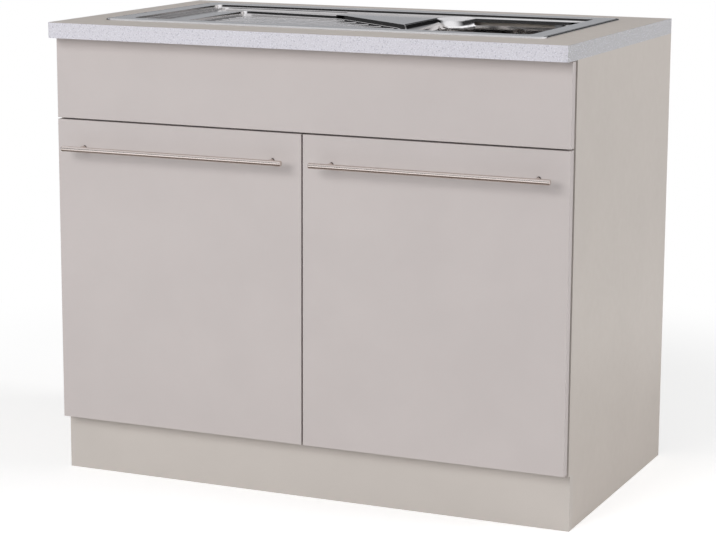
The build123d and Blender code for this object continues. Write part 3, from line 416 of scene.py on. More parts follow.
@dataclass(frozen=True)
class Moulded:
    """Moulded plastic or rubber with a fine satin skin."""

    name: str
    colour: Colour
    gloss: Span = (0.38, 0.5)
    skin: float = 600.0
    depth: float = 2e-5
    shade: float = 0.93
    clouds: float = 30.0
    smears: float = 90.0

    def build(self) -> bpy.types.Material:
        """Build the material.

        Returns:
            The finished material.
        """
        graph = Graph(self.name)
        darker = tuple(value * self.shade for value in self.colour)
        graph.colour(graph.blend(graph.noise(self.clouds), self.colour, darker))
        graph.roughness(graph.ranged(graph.noise(self.smears), BROAD, self.gloss))
        graph.bump(graph.noise(self.skin), self.depth)
        return graph.material


@dataclass(frozen=True)
class Beech:
    """Raw beech of the dowels, its grain along X."""

    name: str
    light: Colour
    dark: Colour
    gloss: Span = (0.6, 0.8)
    grains: float = 500.0
    stretch: Point = (0.06, 1.0, 1.0)
    depth: float = 5e-5

    def build(self) -> bpy.types.Material:
        """Build the material.

        Returns:
            The finished material.
        """
        graph = Graph(self.name)
        grain = graph.noise(self.grains, 4.0, graph.stretched(self.stretch))
        graph.colour(graph.blend(graph.ranged(grain, CORE, WHOLE), self.light, self.dark))
        graph.roughness(graph.ranged(grain, BROAD, self.gloss))
        graph.bump(grain, self.depth)
        return graph.material


FINISHES = {
    "front_laminate": Laminate("front_laminate", tone(203, 195, 193)),
    "carcass_laminate": Laminate("carcass_laminate", tone(204, 196, 189)),
    "plinth_laminate": Laminate("plinth_laminate", tone(205, 198, 192)),
    "back_board": Laminate("back_board", tone(222, 218, 210), 0.93, (0.6, 0.75), 3e-5),
    "worktop_laminate": Laminate("worktop_laminate", tone(214, 205, 197), 0.95, (0.4, 0.52), 2e-5),
    "edging_strip": SpeckledStrip(
        "edging_strip",
        front=tone(215, 213, 220),
        end=tone(186, 185, 186),
        light_fleck=tone(234, 233, 242),
        dark_fleck=tone(172, 170, 182),
        end_from=0.4975,
    ),
    "sink_steel": Steel("sink_steel", (0.76, 0.735, 0.715), (0.06, 0.10), depth=5e-7),
    "handle_steel": Steel("handle_steel", (0.73, 0.645, 0.59), (0.2, 0.28), Along.NONE, 1400.0, 1e-6),
    "hinge_steel": Steel("hinge_steel", (0.62, 0.62, 0.61), (0.18, 0.3), Along.Z),
    "bracket_steel": Steel("bracket_steel", (0.60, 0.61, 0.63), (0.3, 0.45), Along.Y),
    "screw_steel": Steel("screw_steel", (0.60, 0.60, 0.60), (0.25, 0.4), Along.NONE),
    "dowel_wood": Beech("dowel_wood", tone(214, 184, 138), tone(188, 152, 104)),
    "waste_plastic": Moulded("waste_plastic", tone(232, 232, 230)),
    "grey_plastic": Moulded("grey_plastic", tone(110, 112, 114)),
    "black_rubber": Moulded("black_rubber", tone(34, 34, 34), (0.6, 0.75)),
    "clear_rubber": Moulded("clear_rubber", tone(214, 214, 212), (0.3, 0.4)),
}


# ---------------------------------------------------------------- bench work
def clear_selection() -> None:
    """Leave object mode's selection empty."""
    if bpy.context.mode != "OBJECT":
        bpy.ops.object.mode_set(mode="OBJECT")
    bpy.ops.object.select_all(action="DESELECT")


def activate(piece: bpy.types.Object) -> None:
    """Select one object alone and make it active.

    Args:
        piece: Object to select.
    """
    clear_selection()
    piece.select_set(True)
    bpy.context.view_layer.objects.active = piece


def choose(
    piece: bpy.types.Object,
    edges: Callable[[Vector, Vector], bool] | None = None,
    faces: Callable[[Vector, Vector], bool] | None = None,
) -> None:
    """Select edges or faces of the active object by their place and stay in edit mode.

    Args:
        piece: Object to work on.
        edges: Test of an edge's two ends.
        faces: Test of a face's centre and normal.
    """
    activate(piece)
    bpy.ops.object.mode_set(mode="EDIT")
    bpy.ops.mesh.select_mode(type="EDGE" if edges else "FACE")
    bpy.ops.mesh.select_all(action="DESELECT")
    bpy.ops.object.mode_set(mode="OBJECT")
    mesh = piece.data
    if edges:
        for edge in mesh.edges:
            ends = [mesh.vertices[index].co for index in edge.vertices]
            edge.select = edges(ends[0], ends[1])
    if faces:
        for polygon in mesh.polygons:
            polygon.select = faces(polygon.center, polygon.normal)
    bpy.ops.object.mode_set(mode="EDIT")


def leave_edit() -> None:
    """Go back to object mode."""
    bpy.ops.object.mode_set(mode="OBJECT")


def anything(first: Vector, second: Vector) -> bool:
    """Test that every edge and face passes."""
    return True


def at_height(level: float, first: Vector, second: Vector) -> bool:
    """Whether an edge lies at one height."""
    return abs(first.z - level) < LEVEL and abs(second.z - level) < LEVEL


def round_edges(
    piece: bpy.types.Object, edges: Callable[[Vector, Vector], bool], width: float, segments: int
) -> None:
    """Round the edges that a test picks.

    Args:
        piece: Object to change.
        edges: Test of an edge's two ends.
        width: Width of the rounding.
        segments: Faces across it.
    """
    choose(piece, edges=edges)
    bpy.ops.mesh.bevel(offset=width, segments=segments, clamp_overlap=False)
    leave_edit()


def divide(piece: bpy.types.Object, place: Point, normal: Point, trim: bool = False) -> None:
    """Divide a whole piece by a plane.

    Args:
        piece: Object to divide.
        place: Point on the plane.
        normal: Direction that the plane faces.
        trim: Whether what lies before the plane is cut off and the cut is closed.
    """
    choose(piece, faces=anything)
    bpy.ops.mesh.bisect(plane_co=place, plane_no=normal, use_fill=trim, clear_outer=trim)
    leave_edit()


def join(pieces: Sequence[bpy.types.Object], name: str) -> bpy.types.Object:
    """Join pieces as one mesh.

    Args:
        pieces: Objects to join.
        name: Name of the result.

    Returns:
        The joined object.
    """
    activate(pieces[0])
    for piece in pieces[1:]:
        piece.select_set(True)
    bpy.ops.object.join()
    whole = bpy.context.object
    whole.name = name
    return whole


def box(name: str, x: Span, y: Span, z: Span) -> bpy.types.Object:
    """Block between three pairs of limits, its place in its mesh.

    Args:
        name: Name of the object.
        x: Limits along X.
        y: Limits along Y.
        z: Limits along Z.

    Returns:
        The block.
    """
    clear_selection()
    middle = [(low + high) / 2 for low, high in (x, y, z)]
    bpy.ops.mesh.primitive_cube_add(size=1.0, location=middle)
    piece = bpy.context.object
    piece.name = name
    piece.scale = [high - low for low, high in (x, y, z)]
    bpy.ops.object.transform_apply(location=True, rotation=True, scale=True)
    return piece


def round_uprights(piece: bpy.types.Object, radius: float, segments: int) -> None:
    """Round a block's upright edges.

    Args:
        piece: Block to change.
        radius: Corner radius.
        segments: Faces in each corner.
    """
    round_edges(
        piece, lambda a, b: abs(a.z - b.z) > UPRIGHT and (a - b).xy.length < MERGED, radius, segments
    )


def lean(piece: bpy.types.Object, level: float, inward: Span) -> None:
    """Draw the lowest outline of a block inwards, so that its walls lean.

    Args:
        piece: Block to change.
        level: Height of that outline.
        inward: Distance that its ends and its long sides move.
    """
    corners = [vertex.co for vertex in piece.data.vertices]
    low = Vector([min(co[i] for co in corners) for i in range(3)])
    high = Vector([max(co[i] for co in corners) for i in range(3)])
    size = high - low
    middle = (low + high) / 2
    choose(piece, faces=lambda centre, normal: centre.z < level + UPRIGHT and normal.z < -0.9)
    factors = ((size.x - 2 * inward[0]) / size.x, (size.y - 2 * inward[1]) / size.y, 1.0)
    bpy.ops.transform.resize(value=factors, center_override=(middle.x, middle.y, level))
    leave_edit()


def cut(piece: bpy.types.Object, tool: bpy.types.Object) -> None:
    """Take a tool's shape out of a piece and throw the tool away.

    Args:
        piece: Object to change.
        tool: Object to take out of it.
    """
    activate(piece)
    modifier = piece.modifiers.new("cut", "BOOLEAN")
    modifier.operation = "DIFFERENCE"
    modifier.solver = "EXACT"
    modifier.object = tool
    bpy.ops.object.modifier_apply(modifier=modifier.name)
    bpy.data.objects.remove(tool)


def finish_with(piece: bpy.types.Object, kind: str, **settings: object) -> None:
    """Add one modifier with its settings and apply it.

    Args:
        piece: Object to change.
        kind: Kind of modifier.
        **settings: Its settings by name.
    """
    activate(piece)
    modifier = piece.modifiers.new("finish", kind)
    for name, value in settings.items():
        setattr(modifier, name, value)
    bpy.ops.object.modifier_apply(modifier=modifier.name)


def tidy(piece: bpy.types.Object, angle: float = 30.0) -> None:
    """Merge doubles and shade smooth up to an angle.

    Args:
        piece: Object to change.
        angle: Largest smooth angle in degrees.
    """
    choose(piece, faces=anything)
    bpy.ops.mesh.remove_doubles(threshold=MERGED)
    leave_edit()
    bpy.ops.object.shade_smooth_by_angle(angle=math.radians(angle))


def report(piece: bpy.types.Object) -> None:
    """Log a new piece and its faces."""
    log.info("%s: %d faces", piece.name, len(piece.data.polygons))


def dress(piece: bpy.types.Object, body: str, slot: str, materials: dict[str, bpy.types.Material]) -> None:
    """Give a new piece its body and finish.

    Args:
        piece: Object to dress.
        body: Body that it rides on.
        slot: Name of its finish.
        materials: Finishes by name.
    """
    piece.data.materials.clear()
    piece.data.materials.append(materials[slot])
    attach(piece, body)


# ---------------------------------------------------------------- sub-assemblies
@dataclass
class PressedSink:
    """Sink pressed from one sheet: rim, deck, ledge, ribbed tray and bowl."""

    materials: dict[str, bpy.types.Material]
    sheet: float = 0.001
    edge_height: float = 0.0029  # height of the turned edge
    corner_radius: float = 0.018
    least_radius: float = 0.006  # smallest corner of the groove
    corner_faces: int = 10
    bead_width: float = 0.0035
    groove_width: float = 0.003
    groove_depth: float = 0.0018
    rim_band: float = 0.040
    deck_drop: float = 0.005  # rim to deck
    deck_radius: float = 0.014
    ledge_left_margin: float = 0.018
    ledge_edge_margin: float = 0.005
    ledge_width: float = 0.267
    ledge_drop: float = 0.002  # deck to ledge
    tray_left_margin: float = 0.059
    tray_rear_left: float = 0.035
    tray_rear_middle: float = 0.066
    tray_turn: float = 0.221
    tray_drop: float = 0.006  # ledge to tray
    tray_step: float = 0.0005  # tray's front wall behind the ledge's
    spout_overlap: float = 0.030
    spout_mouth: float = 0.108
    end_slope: float = math.radians(3.0)
    wall_slope: float = math.radians(11.5)
    drainer_fall: float = 0.0005  # over the length of the drainer
    bowl_width: float = 0.280
    bowl_margin: float = 0.005
    bowl_drop: float = 0.150  # deck to the bowl floor
    bowl_radius: float = 0.055
    bowl_faces: int = 16
    floor_radius: float = 0.035
    lip_spread: float = 0.0038  # flare of the lip, front, rear and right
    lip_left: float = 0.010  # flare towards the drainer
    lip_drop: float = 0.028
    spout_run: float = 0.028
    spout_fall: float = 0.020
    rib_count: int = 9
    rib_spacing: float = 0.028
    rib_first: float = 0.022
    rib_width: float = 0.005
    rib_height: float = 0.0006
    rib_sunk: float = 0.0004  # rib below the tray floor
    rib_end_round: float = 0.96
    rib_crest_round: float = 0.95
    rib_end_gap: float = 0.024
    drain_radius: float = 0.045
    overflow_radius: float = 0.014
    overflow_drop: float = 0.036  # deck to the middle of the overflow
    hole_depth: float = 0.02  # length of the cylinders that cut holes
    block_below: float = 0.05  # block under the bowl floor
    rise: float = 0.002  # cutting blocks above what they cut
    groove_rise: float = 0.001  # the same for the groove
    margin: float = 0.0005  # play when faces are picked by place
    under_deck: float = 0.01  # where the walls of the overflow hole begin
    near: float = 0.003  # play when the bends of the drainer are told apart
    ledge_lap: float = 0.004  # tray's outline inside the ledge's front
    ledge_strip: float = 0.02  # tray's outline inside the ledge's rear
    bends: dict[str, float] = field(
        default_factory=lambda: {
            "lip": 0.4,
            "rim": 0.5,
            "groove": 0.12,
            "step": 0.12,
            "ledge": 0.1,
            "tray": 0.12,
        }
    )
    widest_bend: float = 0.004  # the bends above are shares of it
    bend_faces: int = 4
    sharp: float = math.radians(24)  # edges that turn more are bends
    flat: float = math.radians(0.4)  # faces that turn less are one
    flats: tuple[int, int] = (16, 8)  # columns and rows that divide the sheet
    low_wall: float = 0.08  # lowest level that divides the bowl walls

    def __post_init__(self) -> None:
        """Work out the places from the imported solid."""
        low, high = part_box("sink")
        self.left, self.front = low.x, low.y
        self.right, self.rear = high.x, high.y
        self.top = high.z
        self.deck_z = self.top - self.deck_drop
        self.ledge_z = self.deck_z - self.ledge_drop
        self.tray_z = self.ledge_z - self.tray_drop
        self.bowl_z = self.deck_z - self.bowl_drop
        self.deck_x = (self.left + self.rim_band, self.right - self.rim_band)
        self.deck_y = (self.front + self.rim_band, self.rear - self.rim_band)
        bowl_right = self.deck_x[1] - self.bowl_margin
        self.bowl_x = (bowl_right - self.bowl_width, bowl_right)
        self.bowl_y = (self.deck_y[0] + self.bowl_margin, self.deck_y[1] - self.bowl_margin)
        self.tray_left = self.deck_x[0] + self.ledge_left_margin + self.tray_left_margin
        self.inner_front = self.deck_y[0] + self.ledge_edge_margin
        self.inner_rear = self.deck_y[1] - self.ledge_edge_margin
        self.turn = (self.tray_left + self.tray_turn, self.inner_rear - self.tray_rear_middle)
        self.spout = (self.bowl_x[0] + self.spout_overlap, self.inner_front + self.spout_mouth)

    def plate(self) -> bpy.types.Object:
        """Block as large as the sink, from which the basin is cut.

        Returns:
            The block.
        """
        z = (self.bowl_z - self.block_below, self.top)
        plate = box("sink_pan", (self.left, self.right), (self.front, self.rear), z)
        round_uprights(plate, self.corner_radius, self.corner_faces)
        return plate

    def rounded(self, name: str, inset: float, z: Span) -> bpy.types.Object:
        """Rounded block a little inside the rim's outline.

        Args:
            name: Name of the block.
            inset: Distance inside the outline.
            z: Limits along Z.

        Returns:
            The block.
        """
        x = (self.left + inset, self.right - inset)
        y = (self.front + inset, self.rear - inset)
        block = box(name, x, y, z)
        round_uprights(block, max(self.corner_radius - inset, self.least_radius), self.corner_faces)
        return block

    def inward(self, drop: float) -> Span:
        """How far the end walls and the long walls lean in over a drop."""
        return drop * math.tan(self.end_slope), drop * math.tan(self.wall_slope)

    def groove_tool(self) -> bpy.types.Object:
        """Ring that cuts the groove inside the rim's bead.

        Returns:
            The ring.
        """
        low = self.top - self.groove_depth
        rise = self.groove_rise
        ring = self.rounded("groove_tool", self.bead_width, (low, self.top + rise / 2))
        core = self.rounded("groove_core", self.bead_width + self.groove_width, (low - rise, self.top + rise))
        spread = -(self.groove_depth + 2 * rise) * math.tan(self.wall_slope)
        lean(core, low - rise, (spread, spread))
        cut(ring, core)
        return ring

    def step_tool(self, name: str, x: Span, y: Span, z: Span) -> bpy.types.Object:
        """Rounded block with leaning walls that cuts one step down.

        Args:
            name: Name of the block.
            x: Limits along X at the step's upper edge.
            y: Limits along Y there.
            z: Heights of the lower and the upper level.

        Returns:
            The block.
        """
        grow = self.rise * math.tan(self.wall_slope)
        tool = box(name, (x[0] - grow, x[1] + grow), (y[0] - grow, y[1] + grow), (z[0], z[1] + self.rise))
        round_uprights(tool, self.deck_radius + grow, self.corner_faces)
        lean(tool, z[0], self.inward(z[1] + self.rise - z[0]))
        return tool

    def deck_tool(self) -> bpy.types.Object:
        """Block that cuts the recessed deck."""
        return self.step_tool("deck_tool", self.deck_x, self.deck_y, (self.deck_z, self.top))

    def ledge_tool(self) -> bpy.types.Object:
        """Block that cuts the drainer's ledge.

        Returns:
            The block.
        """
        left = self.deck_x[0] + self.ledge_left_margin
        x = (left, left + self.ledge_width)
        y = (self.inner_front, self.inner_rear)
        return self.step_tool("ledge_tool", x, y, (self.ledge_z, self.deck_z))

    def tray_tool(self) -> bpy.types.Object:
        """Block that cuts the tray: its rear wall turns and slants to the bowl.

        Returns:
            The block.
        """
        rear_left = self.inner_rear - self.tray_rear_left
        height = self.deck_z + self.rise - self.tray_z
        x = (self.tray_left, self.spout[0])
        y = (self.inner_front + self.tray_step, self.inner_rear)
        tool = box("tray_tool", x, y, (self.tray_z, self.tray_z + height))
        lean(tool, self.tray_z, self.inward(height))
        level, tilt = math.cos(self.wall_slope), math.sin(self.wall_slope)
        for start, end in (((self.tray_left, rear_left), self.turn), (self.turn, self.spout)):
            run = Vector((end[0] - start[0], end[1] - start[1], 0.0)).normalized()
            normal = (-run.y * level, run.x * level, -tilt)
            divide(tool, (*start, self.deck_z), normal, trim=True)
        near = Vector(self.turn)
        left_end = self.tray_left + 0.004
        turn_reach = 0.006
        round_edges(
            tool,
            lambda a, b: abs(a.z - b.z) > 0.9 * height
            and (a.x < left_end or (a.xy - near).length < turn_reach),
            self.deck_radius,
            self.corner_faces,
        )
        self.round_spout(tool)
        below = self.deck_z - UPRIGHT
        choose(tool, edges=lambda a, b: a.z < below and b.z < below)
        self.tip_floor()
        leave_edit()
        return tool

    def tip_floor(self) -> None:
        """Raise the far end of what is selected, so that the drainer falls to the bowl."""
        start = self.bowl_x[0] - self.spout_run
        angle = math.atan2(self.drainer_fall, start - self.tray_left)
        bpy.ops.transform.rotate(
            value=-angle, orient_axis="Y", orient_type="GLOBAL", center_override=(start, 0.0, self.tray_z)
        )

    def round_spout(self, tool: bpy.types.Object, steps: int = 7) -> None:
        """Let the tray's floor fall into the bowl along a quarter ellipse.

        Args:
            tool: Block that cuts the tray.
            steps: Faces of that fall.
        """
        start = self.bowl_x[0] - self.spout_run
        turns = [math.pi / 2 * step / steps for step in range(steps)]
        for turn in turns:
            place = (start + self.spout_run * math.sin(turn), 0.0, 0.0)
            divide(tool, place, (1.0, 0.0, 0.0))
        level = self.tray_z
        for turn in turns[1:] + [math.pi / 2]:
            beyond = start + self.spout_run * math.sin(turn) - LEVEL
            choose(tool, edges=lambda a, b: min(a.x, b.x) > beyond and at_height(level, a, b))
            lower = self.tray_z - self.spout_fall * (1.0 - math.cos(turn))
            bpy.ops.transform.translate(value=(0.0, 0.0, lower - level))
            leave_edit()
            level = lower

    def bowl_tool(self) -> bpy.types.Object:
        """Block that cuts the bowl, rounded at its corners and its floor.

        Returns:
            The block.
        """
        shoulder = self.deck_z - self.lip_drop
        tool = box("bowl_tool", self.bowl_x, self.bowl_y, (self.bowl_z, shoulder))
        round_uprights(tool, self.bowl_radius, self.bowl_faces)
        round_edges(tool, partial(at_height, self.bowl_z), self.floor_radius, self.corner_faces)
        self.flare(tool, shoulder)
        return tool

    def flare(self, tool: bpy.types.Object, shoulder: float, steps: int = 14) -> None:
        """Widen the bowl's lip along a quarter ellipse, most on the drainer's side.

        Args:
            tool: Block that cuts the bowl.
            shoulder: Height of its flat top.
            steps: Faces from the wall to the deck.
        """
        width = self.bowl_x[1] - self.bowl_x[0]
        depth = self.bowl_y[1] - self.bowl_y[0]
        both = self.lip_left + self.lip_spread
        middle = (self.bowl_x[0] + width * self.lip_left / both, sum(self.bowl_y) / 2)
        choose(tool, faces=lambda centre, normal: centre.z > shoulder - LEVEL and normal.z > 0.9)
        level = shoulder
        grown = 0.0
        for step in range(steps):
            slope = math.pi / 2 * ((step + 1) / steps) ** 2
            turn = math.atan2(self.lip_drop * math.sin(slope), self.lip_spread * math.cos(slope))
            grow = 1.0 - math.cos(turn)
            height = shoulder + self.lip_drop * math.sin(turn)
            bpy.ops.mesh.extrude_region_move(TRANSFORM_OT_translate={"value": (0, 0, height - level)})
            factors = (
                (width + both * grow) / (width + both * grown),
                (depth + 2 * self.lip_spread * grow) / (depth + 2 * self.lip_spread * grown),
                1.0,
            )
            bpy.ops.transform.resize(value=factors, center_override=(*middle, height))
            level = height
            grown = grow
        bpy.ops.mesh.extrude_region_move(TRANSFORM_OT_translate={"value": (0, 0, self.rise)})
        leave_edit()

    def skin_only(self, pan: bpy.types.Object) -> None:
        """Delete the block's outside and the walls of both holes, which leaves the sheet's top.

        Args:
            pan: The cut block.
        """
        under = self.bowl_z - self.margin
        behind = self.bowl_y[1] + self.margin
        wall_top = self.deck_z - self.under_deck
        choose(
            pan,
            faces=lambda centre, normal: centre.z < under
            or (centre.z < wall_top and centre.y > behind)
            or (abs(normal.z) < 0.1 and self.inset(centre) < self.margin),
        )
        bpy.ops.mesh.delete(type="FACE")
        leave_edit()

    def quarter(self, pan: bpy.types.Object) -> None:
        """Divide the flats and walls by planes, so that no face bends round a hole.

        Args:
            pan: The sheet's top.
        """
        width = self.right - self.left
        depth = self.rear - self.front
        columns, rows = self.flats
        for index in range(columns):
            divide(pan, (self.left + width * (index + 0.5) / columns, 0.0, 0.0), (1.0, 0.0, 0.0))
        for index in range(rows):
            divide(pan, (0.0, self.front + depth * (index + 0.5) / rows, 0.0), (0.0, 1.0, 0.0))
        for drop in (self.overflow_drop, self.overflow_drop / 2, self.low_wall):
            divide(pan, (0.0, 0.0, self.deck_z - drop), (0.0, 0.0, 1.0))

    def inset(self, place: Vector) -> float:
        """Distance of a point inside the rim's rounded outline.

        Args:
            place: Point to measure.

        Returns:
            Its distance from the outline, more than zero inside.
        """
        radius = self.corner_radius
        across = abs(place.x - (self.left + self.right) / 2) - (self.right - self.left) / 2 + radius
        along = abs(place.y - (self.front + self.rear) / 2) - (self.rear - self.front) / 2 + radius
        outside = math.hypot(max(across, 0.0), max(along, 0.0))
        return radius - outside - min(max(across, along), 0.0)

    def inside_bowl(self, place: Vector) -> bool:
        """Whether a point lies in or on the bowl.

        Args:
            place: Point to test.

        Returns:
            True if it does.
        """
        margin = 2 * self.margin
        return (
            self.bowl_x[0] - margin < place.x < self.bowl_x[1] + margin
            and self.bowl_y[0] - margin < place.y < self.bowl_y[1] + margin
        )

    def turned_edge(self, pan: bpy.types.Object) -> None:
        """Extrude the open outer outline down to the worktop.

        Args:
            pan: The sheet's top.
        """
        outline = 0.6 * self.margin
        choose(pan, edges=lambda a, b: max(self.inset(a), self.inset(b)) < outline)
        bpy.ops.mesh.extrude_region_move(TRANSFORM_OT_translate={"value": (0, 0, -self.edge_height)})
        leave_edit()

    def mark_bends(self, pan: bpy.types.Object) -> None:
        """Give each sharp edge the share of the widest bend that it has on the real sheet.

        Args:
            pan: The sheet's top.
        """
        mesh = pan.data
        weights = mesh.attributes.new("bevel_weight_edge", "FLOAT", "EDGE")
        sides: dict[int, list[int]] = {}
        for polygon in mesh.polygons:
            for loop in polygon.loop_indices:
                sides.setdefault(mesh.loops[loop].edge_index, []).append(polygon.index)
        for edge in mesh.edges:
            touching = sides.get(edge.index, [])
            if len(touching) != 2:
                continue
            first, second = (mesh.polygons[index].normal for index in touching)
            if first.angle(second) < self.sharp:
                continue
            ends = [mesh.vertices[index].co for index in edge.vertices]
            weights.data[edge.index].value = self.bends[self.bend_of((ends[0] + ends[1]) / 2)]

    def bend_of(self, middle: Vector) -> str:
        """Name of the bend that an edge belongs to.

        Args:
            middle: Middle of the edge.

        Returns:
            The name of its bend.
        """
        inset = self.inset(middle)
        if inset < 3 * self.margin:
            return "rim"
        if inset < self.bead_width + self.groove_width + 2 * self.margin:
            return "groove"
        if self.inside_bowl(middle):
            return "lip"
        if middle.z < self.ledge_z - self.margin or self.on_tray_top(middle):
            return "tray"
        inner = self.inner_front - self.near < middle.y < self.inner_rear + self.near
        if inner and middle.x < self.tray_left + self.ledge_width:
            return "ledge"
        return "step"

    def on_tray_top(self, place: Vector) -> bool:
        """Whether a point lies on the upper edge of the tray's rear walls."""
        rear = self.inner_rear - self.ledge_strip
        return place.x > self.tray_left - self.near and self.inner_front + self.ledge_lap < place.y < rear

    def rib(self, index: int) -> bpy.types.Object:
        """One low rib with round ends and a round crest.

        Args:
            index: Its number, counted from the front.

        Returns:
            The rib.
        """
        slant = (self.spout[0] - self.turn[0]) / (self.turn[1] - self.spout[1])
        y = self.inner_front + self.rib_first + self.rib_spacing * index
        wall = self.turn[0] + (self.turn[1] - y) * slant
        x = (self.tray_left + self.rib_end_gap, min(wall, self.bowl_x[0]) - self.rib_end_gap)
        half = self.rib_width / 2
        crest = self.tray_z + self.rib_height
        rib = box(f"rib_{index}", x, (y - half, y + half), (self.tray_z - self.rib_sunk, crest))
        round_uprights(rib, half * self.rib_end_round, 6)
        choose(rib, edges=partial(at_height, crest))
        bpy.ops.mesh.bevel(offset=self.rib_height * self.rib_crest_round, segments=4, clamp_overlap=True)
        leave_edit()
        return rib

    def ribs(self) -> bpy.types.Object:
        """Low pressed ribs of the tray, joined as one mesh.

        Returns:
            The ribs.
        """
        ribs = join([self.rib(index) for index in range(self.rib_count)], "drainer_ribs")
        choose(ribs, faces=anything)
        self.tip_floor()
        leave_edit()
        tidy(ribs, 40.0)
        return ribs

    def hole_tool(self, radius: float, place: Point, sides: int, tilt: float = 0.0) -> bpy.types.Object:
        """Cylinder that cuts a round hole.

        Args:
            radius: Radius of the hole.
            place: Middle of the hole.
            sides: Faces round it.
            tilt: Turn about X, in radians.

        Returns:
            The cylinder.
        """
        clear_selection()
        bpy.ops.mesh.primitive_cylinder_add(
            vertices=sides, radius=radius, depth=self.hole_depth, location=place, rotation=(tilt, 0, 0)
        )
        return bpy.context.object

    def drain_tool(self) -> bpy.types.Object:
        """Cylinder that cuts the drain hole."""
        place = (sum(self.bowl_x) / 2, sum(self.bowl_y) / 2, self.bowl_z)
        return self.hole_tool(self.drain_radius, place, 64)

    def overflow_tool(self) -> bpy.types.Object:
        """Cylinder that cuts the overflow hole."""
        place = (sum(self.bowl_x) / 2, self.bowl_y[1], self.deck_z - self.overflow_drop)
        return self.hole_tool(self.overflow_radius, place, 48, math.pi / 2)

    def build(self) -> None:
        """Cut, bend and dress the sink."""
        pan = self.plate()
        basin = (self.groove_tool, self.deck_tool, self.ledge_tool, self.tray_tool, self.bowl_tool)
        for tool in basin + (self.drain_tool, self.overflow_tool):
            cut(pan, tool())
        self.skin_only(pan)
        choose(pan, faces=anything)
        bpy.ops.mesh.remove_doubles(threshold=LEVEL)
        bpy.ops.mesh.dissolve_limited(angle_limit=self.flat)
        leave_edit()
        self.quarter(pan)
        self.turned_edge(pan)
        self.mark_bends(pan)
        finish_with(
            pan,
            "BEVEL",
            width=self.widest_bend,
            segments=self.bend_faces,
            limit_method="WEIGHT",
            use_clamp_overlap=False,
            miter_outer="MITER_ARC",
        )
        finish_with(pan, "SOLIDIFY", thickness=self.sheet, offset=-1.0)
        tidy(pan, 35.0)
        finish_with(pan, "WEIGHTED_NORMAL", keep_sharp=True, weight=60)
        dress(pan, "carcass", "sink_steel", self.materials)
        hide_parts("sink")
        ribs = self.ribs()
        dress(ribs, "carcass", "sink_steel", self.materials)
        report(pan)
        report(ribs)


@dataclass
class BarHandle:
    """Round bar on two posts, one for each door."""

    side: str
    materials: dict[str, bpy.types.Material]
    end_bevel: float = 0.0013
    bar_faces: int = 64
    foot_flare: float = 0.0009
    post_short: float = 0.0015
    post_faces: int = 40

    def rod(self, name: str, start: Vector, end: Vector, radius: float, sides: int) -> bpy.types.Object:
        """Round rod between two points.

        Args:
            name: Name of the rod.
            start: Centre of one end.
            end: Centre of the other end.
            radius: Radius of the rod.
            sides: Faces round it.

        Returns:
            The rod.
        """
        clear_selection()
        run = end - start
        turn = run.to_track_quat("Z", "Y").to_euler()
        bpy.ops.mesh.primitive_cylinder_add(
            vertices=sides, radius=radius, depth=run.length, location=(start + end) / 2, rotation=turn
        )
        rod = bpy.context.object
        rod.name = name
        bpy.ops.object.transform_apply(location=True, rotation=True, scale=True)
        return rod

    def fit(self, piece: bpy.types.Object) -> None:
        """Smooth a piece and fit it to its door.

        Args:
            piece: Finished shape.
        """
        tidy(piece, 40.0)
        dress(piece, f"door_{self.side}", "handle_steel", self.materials)
        report(piece)

    def build_bar(self) -> None:
        """Bar with bevelled ends."""
        node = f"handle_bar_{self.side}"
        low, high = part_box(node)
        radius = (high.z - low.z) / 2
        middle = (low + high) / 2
        start = Vector((low.x, middle.y, middle.z))
        end = Vector((high.x, middle.y, middle.z))
        bar = self.rod(f"smooth_bar_{self.side}", start, end, radius, self.bar_faces)
        left, right = low.x + LEVEL, high.x - LEVEL
        round_edges(bar, lambda a, b: min(a.x, b.x) > right or max(a.x, b.x) < left, self.end_bevel, 4)
        self.fit(bar)
        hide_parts(node)

    def build_posts(self) -> None:
        """Posts from the door to the bar, each with a small flare at its foot."""
        node = f"handle_posts_{self.side}"
        low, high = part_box(node)
        radius = (high.z - low.z) / 2
        slim = radius - self.foot_flare
        z = (low.z + high.z) / 2
        posts = []
        for index, x in enumerate((low.x + radius, high.x - radius)):
            start = Vector((x, high.y, z))
            end = Vector((x, low.y + self.post_short, z))
            post = self.rod(f"post_{self.side}_{index}", start, end, slim, self.post_faces)
            choose(post, faces=lambda centre, normal: normal.y > 0.9)
            bpy.ops.mesh.inset(thickness=0.0, depth=0.0)
            spread = radius / slim
            bpy.ops.transform.resize(value=(spread, 1.0, spread), center_override=start)
            leave_edit()
            posts.append(post)
        joined = join(posts, f"smooth_posts_{self.side}")
        self.fit(joined)
        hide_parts(node)


@dataclass
class Cabinet:
    """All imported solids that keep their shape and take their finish."""

    frame: dict
    materials: dict[str, bpy.types.Material]

    def dress_nodes(self) -> None:
        """Assign each node the finish of its record slot."""
        wanted = {part["node"]: part["material_slot"] for part in self.frame["record"]["subparts"]}
        for name, node in self.frame["nodes"].items():
            material = self.materials[wanted[name]]
            if not node.material_slots:
                node.data.materials.append(material)
            for place in node.material_slots:
                place.material = material
            log.info("%s: %s", name, material.name)


